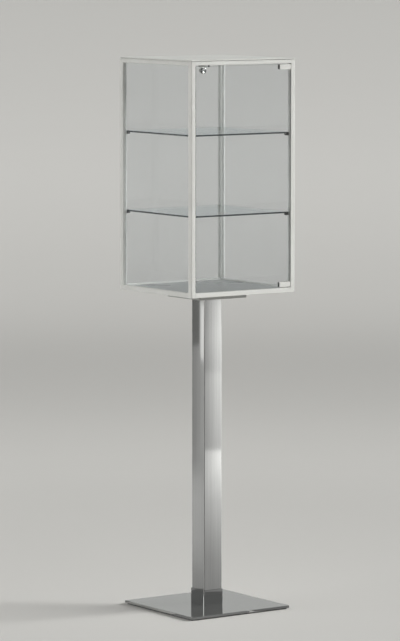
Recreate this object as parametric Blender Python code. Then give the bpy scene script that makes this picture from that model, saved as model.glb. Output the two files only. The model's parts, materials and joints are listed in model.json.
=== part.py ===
"""Tower display case: a locking glass showcase on a polished square column and base plate.

Units are metres and +Z is up. The origin is the centre of the footprint on the floor.
The glass door is the front and faces -Y. It hinges at +X and its lock is at -X.
"""
import math

import bmesh
import bpy
from mathutils import Matrix

for old in list(bpy.data.objects):
    bpy.data.objects.remove(old, do_unlink=True)

MM = 0.001
GAP = 0.3 * MM                      # clearance kept between pieces that touch
TINY = 0.01 * MM                    # lengths below this count as zero

# Overall sizes
CASE_WIDTH = 400 * MM               # along X
CASE_DEPTH = 400 * MM               # along Y
CASE_BOTTOM = 1023 * MM
TOTAL_HEIGHT = 1765 * MM

# Stand
PAD_THICKNESS = 3.4 * MM
PAD_INSET = 6 * MM
PAD_OPENING = 15 * MM               # radius of the hole that clears the base bolt
BASE_SIDE = 380 * MM
BASE_THICKNESS = 8 * MM
BASE_ARRIS = 0.6 * MM
COLUMN_SIDE = 70 * MM
COLUMN_WALL = 3 * MM
COLUMN_CORNER = 2.5 * MM
COLLAR_WALL = 2.2 * MM
COLLAR_HEIGHT = 48 * MM
FOOT_THICKNESS = 15 * MM
BASE_BOLT_RADIUS = 6 * MM
BASE_BOLT_HEAD_RADIUS = 11.5 * MM
BASE_BOLT_HEAD_HEIGHT = 5.5 * MM
BASE_BOLT_LENGTH = 32 * MM
BASE_BOLT_KEY = 4.6 * MM            # corner radius of the hexagon socket
HEAD_SIDE = 184 * MM
HEAD_SHEET = 4 * MM
HEAD_CORNER = 2 * MM
HEAD_SKIRT_BOTTOM = 1002 * MM
HEAD_BOLT_SPACING = 140 * MM
HEAD_BOLT_RADIUS = 3 * MM
HEAD_BOLT_CORNER = 5.7 * MM
HEAD_BOLT_HEAD_HEIGHT = 4 * MM
HEAD_BOLT_COVER = 2 * MM            # floor panel left above a bolt's end

# Frame profiles. In plan, "in_x" and "in_y" are distances inwards from the case's outer corner.
POST_IN_X = 15 * MM
POST_IN_Y = 18 * MM
POST_CORNER = 3 * MM
RAIL_EDGE = 1 * MM
BOTTOM_RAIL_HEIGHT = 14.5 * MM
TOP_RAIL_HEIGHT = 11.3 * MM
LEDGE_REACH = 6 * MM
LEDGE_THICKNESS = 3 * MM
CHAMBER_IN_X = (1.8 * MM, 8.5 * MM)
CHAMBER_IN_Y = (1.8 * MM, 11.3 * MM)
BOTTOM_CHAMBER = (1.8 * MM, 8.0 * MM)   # heights above the bottom rail's underside
TOP_CHAMBER = (5.8 * MM, 9.8 * MM)      # heights above the top rail's underside
CONNECTOR_ARM = 20 * MM
CONNECTOR_LEG = 24 * MM
TOP_SHEET = 2.4 * MM
TOP_REVEAL = 2.4 * MM               # height of the shadow line under the top sheet
TOP_REVEAL_DEPTH = 4 * MM
FLOOR_THICKNESS = 8 * MM
FLOOR_CLEARANCE = 0.5 * MM

# Glass
PANE_THICKNESS = 4 * MM
PANE_BITE = 4.5 * MM                # how far a pane's edge enters the posts
GROOVE_WIDTH = PANE_THICKNESS + 2 * GAP
POST_GROOVE_DEPTH = 5 * MM
BOTTOM_GROOVE_DEPTH = 5 * MM
TOP_GROOVE_DEPTH = 4.3 * MM
SIDE_PANE_IN_X = 7.5 * MM           # centre of a side pane, inwards from the outer face
BACK_PANE_IN_Y = 9 * MM
GLASS_ARRIS = 0.4 * MM
SHELF_THICKNESS = 5 * MM
SHELF_CENTRES = (1275.7 * MM, 1529 * MM)
SHELF_HALF_WIDTH = 184.3 * MM
SHELF_HALF_DEPTH = 182.3 * MM

# Shelf supports
SUPPORT_WIDTH = 10 * MM             # along X
SUPPORT_IN_Y = (12 * MM, 22 * MM)
SUPPORT_STOP_IN_Y = 17.2 * MM       # inner face of the upstand that stops the shelf
SUPPORT_BASE_HEIGHT = 5.5 * MM
STUD_IN_Y = 15 * MM
STUD_RADIUS = 1.5 * MM
STUD_LENGTH = 3.6 * MM
STUD_HOLE_DEPTH = 4 * MM

# Door
DOOR_FRONT = -197 * MM              # front face of the door glass
DOOR_THICKNESS = 5 * MM
DOOR_LEFT = -181.5 * MM
DOOR_RIGHT = 182.5 * MM
DOOR_END_GAP = 3 * MM               # above and below the glass
PIVOT_X = 176 * MM
PIVOT_Y = -195 * MM
CLAMP_LEFT = 141 * MM
CLAMP_RIGHT = 184 * MM
CLAMP_BACK = -187 * MM
CLAMP_HEIGHT = 16 * MM
CLAMP_CORNER = 2.5 * MM
CLAMP_SLOT_END = 168 * MM
PIN_RADIUS = 2.5 * MM
PIN_BORE = PIN_RADIUS + GAP
PIN_IN_RAIL = 5 * MM
PIN_IN_CLAMP = 10 * MM
PIN_CHAMFER = 0.4 * MM
SEAL_WIDTH = 2.5 * MM

# Lock
LOCK_X = -151 * MM
LOCK_BELOW_RAIL = 16.7 * MM
LOCK_FLANGE_RADIUS = 9 * MM
LOCK_BARREL_RADIUS = 7 * MM
LOCK_BARREL_END = -180 * MM
LOCK_NUT_CORNER = 10.2 * MM
LOCK_NUT_THICKNESS = 5 * MM
PLUG_RADIUS = 4 * MM
PLUG_FRONT = -199.6 * MM
PLUG_END = -179.7 * MM
PLUG_SQUARE = 5 * MM
PLUG_SQUARE_END = -177.6 * MM
KEY_SLOT = (1 * MM, 5 * MM, 3 * MM)     # width, height and depth of the keyway
CAM_FRONT = -179.3 * MM
CAM_THICKNESS = 2 * MM
CAM_HUB_RADIUS = 6 * MM
CAM_TIP_RADIUS = 3.5 * MM
CAM_REACH = 15 * MM
CAM_SCREW_RADIUS = 1.5 * MM
CAM_SCREW_LENGTH = 5 * MM
CAM_SCREW_HEAD_RADIUS = 3.4 * MM
CAM_SCREW_HEAD_HEIGHT = 1.8 * MM
STRIKE_X = (-160 * MM, -130 * MM)
STRIKE_FRONT = -190 * MM
STRIKE_BACK = -179.9 * MM
STRIKE_SHEET = 1.3 * MM
STRIKE_DROP = 5.6 * MM
BUMPER_X = -126.3 * MM
BUMPER_Y = -188.6 * MM
BUMPER_RADIUS = 3 * MM
BUMPER_HEIGHT = 6 * MM
BUMPER_CHAMFER = 0.6 * MM

# Derived places
HALF_WIDTH = CASE_WIDTH / 2
HALF_DEPTH = CASE_DEPTH / 2
BASE_BOTTOM = PAD_THICKNESS + GAP
BASE_TOP = BASE_BOTTOM + BASE_THICKNESS
COLUMN_BOTTOM = BASE_TOP + GAP
HEAD_TOP = CASE_BOTTOM + LEDGE_THICKNESS
COLUMN_TOP = HEAD_TOP - HEAD_SHEET - GAP
FLOOR_BOTTOM = HEAD_TOP + GAP
FRAME_TOP = TOTAL_HEIGHT - TOP_SHEET - TOP_REVEAL
TOP_RAIL_BOTTOM = FRAME_TOP - TOP_RAIL_HEIGHT
BOTTOM_RAIL_TOP = CASE_BOTTOM + BOTTOM_RAIL_HEIGHT
RAIL_HALF_X = HALF_WIDTH - POST_IN_X - GAP
RAIL_HALF_Y = HALF_DEPTH - POST_IN_Y - GAP
PANE_BOTTOM = BOTTOM_RAIL_TOP - BOTTOM_GROOVE_DEPTH + GAP
PANE_TOP = TOP_RAIL_BOTTOM + TOP_GROOVE_DEPTH - GAP
DOOR_BOTTOM = BOTTOM_RAIL_TOP + DOOR_END_GAP
DOOR_TOP = TOP_RAIL_BOTTOM - DOOR_END_GAP
DOOR_BACK = DOOR_FRONT + DOOR_THICKNESS
LOCK_Z = TOP_RAIL_BOTTOM - LOCK_BELOW_RAIL

CORNERS = (
    ("front_left", -1, -1),
    ("front_right", 1, -1),
    ("back_left", -1, 1),
    ("back_right", 1, 1),
)
LEVELS = ("bottom", "top")

FINISHES = {
    # name: (base colour, metallic, roughness, alpha)
    "frame_white": ((0.80, 0.79, 0.76), 0.0, 0.40, 1.0),
    "clear_glass": ((0.86, 0.93, 0.91), 0.0, 0.05, 0.25),
    "polished_steel": ((0.72, 0.72, 0.71), 1.0, 0.12, 1.0),
    "dark_steel": ((0.22, 0.22, 0.21), 1.0, 0.35, 1.0),
    "floor_grey": ((0.36, 0.37, 0.37), 0.0, 0.35, 1.0),
    "black_plastic": ((0.03, 0.03, 0.03), 0.0, 0.45, 1.0),
    "grey_nylon": ((0.35, 0.35, 0.34), 0.0, 0.55, 1.0),
    "seal_white": ((0.74, 0.74, 0.71), 0.0, 0.60, 1.0),
    "zinc_steel": ((0.62, 0.62, 0.60), 1.0, 0.35, 1.0),
    "lock_chrome": ((0.55, 0.55, 0.55), 1.0, 0.12, 1.0),
    "pad_rubber": ((0.05, 0.05, 0.05), 0.0, 0.80, 1.0),
}


def make_material(name):
    colour, metallic, roughness, alpha = FINISHES[name]
    material = bpy.data.materials.new(name)
    material.use_nodes = True
    shader = material.node_tree.nodes["Principled BSDF"]
    shader.inputs["Base Color"].default_value = (*colour, 1.0)
    shader.inputs["Metallic"].default_value = metallic
    shader.inputs["Roughness"].default_value = roughness
    shader.inputs["Alpha"].default_value = alpha
    material.diffuse_color = (*colour, alpha)
    return material


# Outlines: lists of (a, b) points, anticlockwise

def rectangle(low_a, low_b, high_a, high_b):
    return [(low_a, low_b), (high_a, low_b), (high_a, high_b), (low_a, high_b)]


def circle(radius, steps=24, centre=(0, 0)):
    turns = [2 * math.pi * step / steps for step in range(steps)]
    return [(centre[0] + radius * math.cos(t), centre[1] + radius * math.sin(t)) for t in turns]


def step_towards(start, goal, length):
    """A step of this length from start towards goal, or none where they agree."""
    return math.copysign(length, goal - start) if abs(goal - start) > TINY else 0


def round_corners(outline, radii, steps=3):
    """Replace each corner that has a radius above zero with an arc. The corners are right angles."""
    points = []
    for index, (a, b) in enumerate(outline):
        radius = radii[index]
        if radius <= 0:
            points.append((a, b))
            continue
        before = outline[index - 1]
        after = outline[(index + 1) % len(outline)]
        to_before = (step_towards(a, before[0], radius), step_towards(b, before[1], radius))
        to_after = (step_towards(a, after[0], radius), step_towards(b, after[1], radius))
        centre = (a + to_before[0] + to_after[0], b + to_before[1] + to_after[1])
        for step in range(steps + 1):
            turn = math.pi / 2 * step / steps
            points.append((centre[0] - to_after[0] * math.cos(turn) - to_before[0] * math.sin(turn),
                           centre[1] - to_after[1] * math.cos(turn) - to_before[1] * math.sin(turn)))
    return points


def square(side, radius=0.0, steps=3):
    half = side / 2
    return round_corners(rectangle(-half, -half, half, half), [radius] * 4, steps)


# Solids: each returns a bmesh

def prism(outline, low, high, axis="Z"):
    """Extrude an outline from low to high. It lies in XY for Z, in XZ for Y and in YZ for X."""
    lift = {
        "Z": lambda a, b, c: (a, b, c),
        "Y": lambda a, b, c: (a, c, b),
        "X": lambda a, b, c: (c, a, b),
    }[axis]
    solid = bmesh.new()
    near = [solid.verts.new(lift(a, b, low)) for a, b in outline]
    far = [solid.verts.new(lift(a, b, high)) for a, b in outline]
    solid.faces.new(near)
    solid.faces.new(far)
    for index in range(len(outline)):
        after = (index + 1) % len(outline)
        solid.faces.new((near[index], near[after], far[after], far[index]))
    bmesh.ops.recalc_face_normals(solid, faces=solid.faces)
    return solid


def box(low, high):
    return prism(rectangle(low[0], low[1], high[0], high[1]), low[2], high[2])


def rod(radius, low, high, axis="Z", centre=(0, 0), steps=24):
    return prism(circle(radius, steps, centre), low, high, axis)


def cone(low_radius, high_radius, low, high, steps=24):
    """A tapered plug along Z."""
    solid = bmesh.new()
    bmesh.ops.create_cone(solid, cap_ends=True, segments=steps, radius1=low_radius,
                          radius2=high_radius, depth=high - low)
    bmesh.ops.translate(solid, verts=solid.verts, vec=(0, 0, (low + high) / 2))
    return solid


def chamfered_rod(radius, low, high, chamfer, axis="Z", steps=24):
    solid = rod(radius, low, high, axis, steps=steps)
    index = "XYZ".index(axis)
    rims = [edge for edge in solid.edges
            if abs(edge.verts[0].co[index] - edge.verts[1].co[index]) < TINY]
    bmesh.ops.bevel(solid, geom=rims, offset=chamfer, segments=1, affect="EDGES")
    return solid


def arrised(solid, width=GLASS_ARRIS):
    """Take the sharpness off every edge, as on ground glass."""
    bmesh.ops.bevel(solid, geom=list(solid.edges), offset=width, segments=1, affect="EDGES")
    return solid


# Objects

def add_piece(name, solid, material, location=(0, 0, 0), parent=None):
    mesh = bpy.data.meshes.new(name)
    solid.to_mesh(mesh)
    solid.free()
    piece = bpy.data.objects.new(name, mesh)
    bpy.context.collection.objects.link(piece)
    mesh.materials.append(material)
    piece.location = location
    piece.parent = parent
    return piece


def add_copy(name, original, location):
    piece = bpy.data.objects.new(name, original.data)
    bpy.context.collection.objects.link(piece)
    piece.location = location
    return piece


def combine(piece, solid, operation):
    """Cut a solid from a piece, or join it on. The solid is in the piece's own frame."""
    mesh = bpy.data.meshes.new("tool")
    solid.to_mesh(mesh)
    solid.free()
    tool = bpy.data.objects.new("tool", mesh)
    bpy.context.collection.objects.link(tool)
    bpy.context.view_layer.update()
    tool.matrix_world = piece.matrix_world
    modifier = piece.modifiers.new("combine", "BOOLEAN")
    modifier.operation = operation
    modifier.solver = "EXACT"
    modifier.object = tool
    depsgraph = bpy.context.evaluated_depsgraph_get()
    result = bpy.data.meshes.new_from_object(piece.evaluated_get(depsgraph))
    piece.modifiers.clear()
    before = piece.data
    piece.data = result
    result.name = piece.name
    bpy.data.meshes.remove(before)
    bpy.data.objects.remove(tool, do_unlink=True)
    bpy.data.meshes.remove(mesh)


def cut(piece, *solids):
    for solid in solids:
        combine(piece, solid, "DIFFERENCE")


def join(piece, *solids):
    for solid in solids:
        combine(piece, solid, "UNION")


def smooth(piece, degrees=35):
    piece.data.shade_smooth()
    piece.data.set_sharp_from_angle(angle=math.radians(degrees))


def face_corner(solid, side_x, side_y):
    """Turn a solid built in inward distances (in_x, in_y) to suit one corner of the case."""
    bmesh.ops.transform(solid, matrix=Matrix.Diagonal((-side_x, -side_y, 1, 1)), verts=solid.verts)
    if side_x * side_y < 0:
        bmesh.ops.reverse_faces(solid, faces=solid.faces)
    return solid


def hexagon(corner_radius):
    return circle(corner_radius, steps=6)


def level_bottom(level):
    """Height of the underside of the rails at one level."""
    return CASE_BOTTOM if level == "bottom" else TOP_RAIL_BOTTOM


def chamber_heights(level):
    """Lowest and highest point of the rails' hollow at one level."""
    low, high = BOTTOM_CHAMBER if level == "bottom" else TOP_CHAMBER
    return level_bottom(level) + low, level_bottom(level) + high


# The stand

def build_stand(finish):
    pad = add_piece("base_pad", prism(square(BASE_SIDE - 2 * PAD_INSET), 0, PAD_THICKNESS),
                    finish["pad_rubber"])
    cut(pad, rod(PAD_OPENING, -MM, PAD_THICKNESS + MM))

    plate = add_piece("base_plate", arrised(prism(square(BASE_SIDE), 0, BASE_THICKNESS), BASE_ARRIS),
                      finish["polished_steel"], (0, 0, BASE_BOTTOM))
    clearance = BASE_BOLT_RADIUS + GAP
    head_clearance = BASE_BOLT_HEAD_RADIUS + GAP
    cut(plate,
        cone(head_clearance + GAP, clearance, -GAP, BASE_BOLT_HEAD_HEIGHT + GAP),
        rod(clearance, BASE_BOLT_HEAD_HEIGHT, BASE_THICKNESS + MM))

    sunk_head = cone(BASE_BOLT_HEAD_RADIUS, BASE_BOLT_RADIUS, 0, BASE_BOLT_HEAD_HEIGHT)
    bolt = add_piece("base_bolt", sunk_head, finish["zinc_steel"], (0, 0, BASE_BOTTOM + GAP))
    join(bolt, rod(BASE_BOLT_RADIUS, BASE_BOLT_HEAD_HEIGHT - MM, BASE_BOLT_LENGTH))
    cut(bolt, prism(hexagon(BASE_BOLT_KEY), -MM, BASE_BOLT_HEAD_HEIGHT - MM))
    smooth(bolt)

    inside = COLUMN_SIDE - 2 * COLUMN_WALL
    foot = add_piece("column_foot", prism(square(inside - 2 * GAP), 0, FOOT_THICKNESS),
                     finish["dark_steel"], (0, 0, COLUMN_BOTTOM))
    cut(foot, rod(clearance, -MM, FOOT_THICKNESS + MM))

    length = COLUMN_TOP - COLUMN_BOTTOM
    column = add_piece("column", prism(square(COLUMN_SIDE, COLUMN_CORNER, 5), 0, length),
                       finish["polished_steel"], (0, 0, COLUMN_BOTTOM))
    cut(column, prism(square(inside), -MM, length + MM))

    bore = COLUMN_SIDE + 2 * GAP
    sleeve = prism(square(bore + 2 * COLLAR_WALL, COLLAR_WALL + GAP), 0, COLLAR_HEIGHT)
    collar = add_piece("base_collar", sleeve, finish["polished_steel"], (0, 0, COLUMN_BOTTOM))
    cut(collar, prism(square(bore, COLUMN_CORNER), -MM, COLLAR_HEIGHT + MM))


def head_bolt_places():
    half = HEAD_BOLT_SPACING / 2
    return [(side_x * half, side_y * half) for _, side_x, side_y in CORNERS]


def build_head(finish):
    """The folded pan on top of the column that carries the case, and its four bolts."""
    height = HEAD_TOP - HEAD_SKIRT_BOTTOM
    pan = add_piece("head_pan", prism(square(HEAD_SIDE, HEAD_CORNER), 0, height),
                    finish["dark_steel"], (0, 0, HEAD_SKIRT_BOTTOM))
    cut(pan, prism(square(HEAD_SIDE - 2 * HEAD_SHEET), -MM, height - HEAD_SHEET))
    for place in head_bolt_places():
        cut(pan, rod(HEAD_BOLT_RADIUS + GAP, height - 2 * HEAD_SHEET, height + MM, centre=place))

    sheet_bottom = HEAD_TOP - HEAD_SHEET
    shank_top = FLOOR_BOTTOM + FLOOR_THICKNESS - HEAD_BOLT_COVER
    first = None
    for (corner, _, _), (x, y) in zip(CORNERS, head_bolt_places()):
        name = f"head_bolt_{corner}"
        place = (x, y, sheet_bottom - GAP - HEAD_BOLT_HEAD_HEIGHT)
        if first is None:
            first = add_piece(name, prism(hexagon(HEAD_BOLT_CORNER), 0, HEAD_BOLT_HEAD_HEIGHT),
                              finish["zinc_steel"], place)
            join(first, rod(HEAD_BOLT_RADIUS, HEAD_BOLT_HEAD_HEIGHT - MM, shank_top - place[2]))
            smooth(first)
        else:
            add_copy(name, first, place)


# The frame of the case

def build_posts(finish):
    """Four hollow posts with pane grooves, windows for the connectors and shelf stud holes."""
    height = FRAME_TOP - CASE_BOTTOM
    groove_in_x = (SIDE_PANE_IN_X - GROOVE_WIDTH / 2, SIDE_PANE_IN_X + GROOVE_WIDTH / 2)
    groove_in_y = (BACK_PANE_IN_Y - GROOVE_WIDTH / 2, BACK_PANE_IN_Y + GROOVE_WIDTH / 2)
    for corner, side_x, side_y in CORNERS:
        outline = round_corners(rectangle(0, 0, POST_IN_X, POST_IN_Y), (POST_CORNER, 0, 0, 0), 5)
        post = add_piece(f"post_{corner}", face_corner(prism(outline, 0, height), side_x, side_y),
                         finish["frame_white"], (side_x * HALF_WIDTH, side_y * HALF_DEPTH, CASE_BOTTOM))
        cutters = [
            box((CHAMBER_IN_X[0], CHAMBER_IN_Y[0], -MM), (CHAMBER_IN_X[1], CHAMBER_IN_Y[1], height + MM)),
            box((groove_in_x[0], POST_IN_Y - POST_GROOVE_DEPTH, -MM),
                (groove_in_x[1], POST_IN_Y + MM, height + MM)),
        ]
        if side_y > 0:
            cutters.append(box((POST_IN_X - POST_GROOVE_DEPTH, groove_in_y[0], -MM),
                               (POST_IN_X + MM, groove_in_y[1], height + MM)))
        for level in LEVELS:
            low, high = (z - CASE_BOTTOM for z in chamber_heights(level))
            cutters.append(box((CHAMBER_IN_X[1] - MM, CHAMBER_IN_Y[0], low),
                               (POST_IN_X + MM, CHAMBER_IN_Y[1], high)))
            cutters.append(box((CHAMBER_IN_X[0], CHAMBER_IN_Y[1] - MM, low),
                               (CHAMBER_IN_X[1], POST_IN_Y + MM, high)))
        for centre in SHELF_CENTRES:
            stud_z = stud_height(centre) - CASE_BOTTOM
            cutters.append(rod(STUD_RADIUS + GAP, POST_IN_X - STUD_HOLE_DEPTH, POST_IN_X + MM, "X",
                               (STUD_IN_Y, stud_z), 12))
        for cutter in cutters:
            cut(post, face_corner(cutter, side_x, side_y))


def rail_outline(height, ledge):
    """Section of a front or back rail: distance inwards, then height."""
    if ledge:
        lip = POST_IN_Y + LEDGE_REACH
        return round_corners([(0, 0), (lip, 0), (lip, LEDGE_THICKNESS), (POST_IN_Y, LEDGE_THICKNESS),
                              (POST_IN_Y, height), (0, height)],
                             (RAIL_EDGE, 0, 0, 0, 0, RAIL_EDGE))
    return round_corners(rectangle(0, 0, POST_IN_Y, height), (RAIL_EDGE, 0, 0, RAIL_EDGE))


def build_rails(finish):
    heights = {"bottom": BOTTOM_RAIL_HEIGHT, "top": TOP_RAIL_HEIGHT}
    for level in LEVELS:
        height = heights[level]
        origin = level_bottom(level)
        chamber = BOTTOM_CHAMBER if level == "bottom" else TOP_CHAMBER
        if level == "bottom":
            groove = (height - BOTTOM_GROOVE_DEPTH, height + MM)
        else:
            groove = (-MM, TOP_GROOVE_DEPTH)
        for side, side_y in (("front", -1), ("back", 1)):
            solid = prism(rail_outline(height, level == "bottom"), -RAIL_HALF_X, RAIL_HALF_X, "X")
            rail = add_piece(f"rail_{side}_{level}", face_corner(solid, 1, side_y),
                             finish["frame_white"], (0, side_y * HALF_DEPTH, origin))
            reach = RAIL_HALF_X + MM
            hollow = prism(rectangle(CHAMBER_IN_Y[0], chamber[0], CHAMBER_IN_Y[1], chamber[1]),
                           -reach, reach, "X")
            cut(rail, face_corner(hollow, 1, side_y))
            if side == "back":
                slot = prism(rectangle(BACK_PANE_IN_Y - GROOVE_WIDTH / 2, groove[0],
                                       BACK_PANE_IN_Y + GROOVE_WIDTH / 2, groove[1]), -reach, reach, "X")
                cut(rail, face_corner(slot, 1, side_y))
            else:
                in_rail = PIN_IN_RAIL + GAP
                face = height if level == "bottom" else 0
                cut(rail, rod(PIN_BORE, face - in_rail, face + in_rail,
                              centre=(PIVOT_X, PIVOT_Y + HALF_DEPTH)))
        for side, side_x in (("left", -1), ("right", 1)):
            outline = round_corners(rectangle(0, 0, POST_IN_X, height), (RAIL_EDGE, 0, 0, RAIL_EDGE))
            solid = prism(outline, -RAIL_HALF_Y, RAIL_HALF_Y, "Y")
            rail = add_piece(f"rail_{side}_{level}", face_corner(solid, side_x, 1),
                             finish["frame_white"], (side_x * HALF_WIDTH, 0, origin))
            reach = RAIL_HALF_Y + MM
            hollow = prism(rectangle(CHAMBER_IN_X[0], chamber[0], CHAMBER_IN_X[1], chamber[1]),
                           -reach, reach, "Y")
            slot = prism(rectangle(SIDE_PANE_IN_X - GROOVE_WIDTH / 2, groove[0],
                                   SIDE_PANE_IN_X + GROOVE_WIDTH / 2, groove[1]), -reach, reach, "Y")
            cut(rail, face_corner(hollow, side_x, 1), face_corner(slot, side_x, 1))


def build_connectors(finish):
    """A three-armed corner block inside each end of each post."""
    low_x, high_x = CHAMBER_IN_X[0] + GAP, CHAMBER_IN_X[1] - GAP
    low_y, high_y = CHAMBER_IN_Y[0] + GAP, CHAMBER_IN_Y[1] - GAP
    end_x, end_y = POST_IN_X + CONNECTOR_ARM, POST_IN_Y + CONNECTOR_ARM
    outline = [(low_x, low_y), (end_x, low_y), (end_x, high_y),
               (high_x, high_y), (high_x, end_y), (low_x, end_y)]
    for level in LEVELS:
        arm_low, arm_high = chamber_heights(level)
        if level == "bottom":
            leg = (CASE_BOTTOM + GAP, CASE_BOTTOM + CONNECTOR_LEG)
        else:
            leg = (FRAME_TOP - CONNECTOR_LEG, FRAME_TOP - GAP)
        for corner, side_x, side_y in CORNERS:
            arms = prism(outline, arm_low + GAP - leg[0], arm_high - GAP - leg[0])
            block = add_piece(f"connector_{corner}_{level}", face_corner(arms, side_x, side_y),
                              finish["grey_nylon"], (side_x * HALF_WIDTH, side_y * HALF_DEPTH, leg[0]))
            upright = box((low_x, low_y, 0), (high_x, high_y, leg[1] - leg[0]))
            join(block, face_corner(upright, side_x, side_y))


def build_floor_and_top(finish):
    half_x = HALF_WIDTH - POST_IN_X - FLOOR_CLEARANCE
    half_y = HALF_DEPTH - POST_IN_Y - FLOOR_CLEARANCE
    floor = add_piece("floor_panel", box((-half_x, -half_y, 0), (half_x, half_y, FLOOR_THICKNESS)),
                      finish["floor_grey"], (0, 0, FLOOR_BOTTOM))
    for place in head_bolt_places():
        cut(floor, rod(HEAD_BOLT_RADIUS + GAP, -MM, FLOOR_THICKNESS - HEAD_BOLT_COVER + GAP, centre=place))

    outline = round_corners(rectangle(-HALF_WIDTH, -HALF_DEPTH, HALF_WIDTH, HALF_DEPTH),
                            [POST_CORNER] * 4, 5)
    sheet = prism(outline, TOP_REVEAL, TOP_REVEAL + TOP_SHEET)
    top = add_piece("top_panel", sheet, finish["frame_white"], (0, 0, FRAME_TOP))
    half_x = HALF_WIDTH - TOP_REVEAL_DEPTH
    half_y = HALF_DEPTH - TOP_REVEAL_DEPTH
    join(top, box((-half_x, -half_y, GAP), (half_x, half_y, TOP_REVEAL + TOP_SHEET / 2)))


# The glass inside the frame

def build_panes(finish):
    bite_y = HALF_DEPTH - POST_IN_Y + PANE_BITE
    bite_x = HALF_WIDTH - POST_IN_X + PANE_BITE
    height = PANE_TOP - PANE_BOTTOM
    half = PANE_THICKNESS / 2
    for side, side_x in (("left", -1), ("right", 1)):
        add_piece(f"pane_{side}", arrised(box((-half, -bite_y, 0), (half, bite_y, height))),
                  finish["clear_glass"], (side_x * (HALF_WIDTH - SIDE_PANE_IN_X), 0, PANE_BOTTOM))
    add_piece("pane_back", arrised(box((-bite_x, -half, 0), (bite_x, half, height))),
              finish["clear_glass"], (0, HALF_DEPTH - BACK_PANE_IN_Y, PANE_BOTTOM))


def stud_height(shelf_centre):
    """Height of the studs of the supports that carry a shelf."""
    return shelf_centre - SHELF_THICKNESS / 2 - GAP - SUPPORT_BASE_HEIGHT / 2


def build_shelves(finish):
    """Two loose glass shelves, each on four black corner supports with a stud into the post."""
    for shelf_name, centre in zip(("lower", "upper"), SHELF_CENTRES):
        half = SHELF_THICKNESS / 2
        glass = box((-SHELF_HALF_WIDTH, -SHELF_HALF_DEPTH, -half),
                    (SHELF_HALF_WIDTH, SHELF_HALF_DEPTH, half))
        add_piece(f"shelf_{shelf_name}", arrised(glass), finish["clear_glass"], (0, 0, centre))

        under = centre - half - GAP
        origin_z = under - SUPPORT_BASE_HEIGHT
        near, far = SUPPORT_IN_Y
        stop_top = SUPPORT_BASE_HEIGHT + GAP + SHELF_THICKNESS
        outline = [(near, 0), (far, 0),
                   (far, SUPPORT_BASE_HEIGHT), (SUPPORT_STOP_IN_Y, SUPPORT_BASE_HEIGHT),
                   (SUPPORT_STOP_IN_Y, stop_top), (near, stop_top)]
        inner = POST_IN_X + GAP
        for corner, side_x, side_y in CORNERS:
            block = prism(outline, inner, inner + SUPPORT_WIDTH, "X")
            support = add_piece(f"support_{shelf_name}_{corner}", face_corner(block, side_x, side_y),
                                finish["black_plastic"],
                                (side_x * HALF_WIDTH, side_y * HALF_DEPTH, origin_z))
            stud = rod(STUD_RADIUS, inner - STUD_LENGTH, inner + MM, "X",
                       (STUD_IN_Y, SUPPORT_BASE_HEIGHT / 2), 12)
            join(support, face_corner(stud, side_x, side_y))


# The door. Its pieces hang from an empty on the hinge axis.

def build_door(finish):
    pivot = bpy.data.objects.new("door_pivot", None)
    bpy.context.collection.objects.link(pivot)
    pivot.location = (PIVOT_X, PIVOT_Y, DOOR_BOTTOM)

    left, right = DOOR_LEFT - PIVOT_X, DOOR_RIGHT - PIVOT_X
    notch = CLAMP_SLOT_END - GAP - PIVOT_X
    height = DOOR_TOP - DOOR_BOTTOM
    clear = CLAMP_HEIGHT + GAP
    outline = [(left, 0), (notch, 0), (notch, clear), (right, clear), (right, height - clear),
               (notch, height - clear), (notch, height), (left, height)]
    front, back = DOOR_FRONT - PIVOT_Y, DOOR_BACK - PIVOT_Y
    glass = add_piece("door_glass", arrised(prism(outline, front, back, "Y")),
                      finish["clear_glass"], parent=pivot)
    lock_place = (LOCK_X - PIVOT_X, LOCK_Z - DOOR_BOTTOM)
    cut(glass, rod(LOCK_BARREL_RADIUS + 2 * GAP, front - MM, back + MM, "Y", lock_place))

    clamp_outline = round_corners(
        rectangle(CLAMP_LEFT - PIVOT_X, -HALF_DEPTH - PIVOT_Y, CLAMP_RIGHT - PIVOT_X, CLAMP_BACK - PIVOT_Y),
        (0, CLAMP_CORNER, CLAMP_CORNER, 0))
    bore_depth = PIN_IN_CLAMP + GAP
    bores = {"bottom": (-MM, bore_depth), "top": (CLAMP_HEIGHT - bore_depth, CLAMP_HEIGHT + MM)}
    bases = {"bottom": 0, "top": height - CLAMP_HEIGHT}
    for level in LEVELS:
        clamp = add_piece(f"hinge_clamp_{level}", prism(clamp_outline, 0, CLAMP_HEIGHT),
                          finish["frame_white"], (0, 0, bases[level]), pivot)
        slot = box((CLAMP_LEFT - PIVOT_X - MM, front - GAP, -MM),
                   (CLAMP_SLOT_END - PIVOT_X, back + GAP, CLAMP_HEIGHT + MM))
        cut(clamp, slot, rod(PIN_BORE, *bores[level]))
    return pivot


def build_hinge_pins(finish):
    """Fixed pins between the front rails and the door's clamps."""
    length = PIN_IN_RAIL + DOOR_END_GAP + PIN_IN_CLAMP
    pin = add_piece("hinge_pin_bottom", chamfered_rod(PIN_RADIUS, 0, length, PIN_CHAMFER),
                    finish["zinc_steel"], (PIVOT_X, PIVOT_Y, BOTTOM_RAIL_TOP - PIN_IN_RAIL))
    smooth(pin)
    add_copy("hinge_pin_top", pin, (PIVOT_X, PIVOT_Y, TOP_RAIL_BOTTOM + PIN_IN_RAIL - length))


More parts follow.
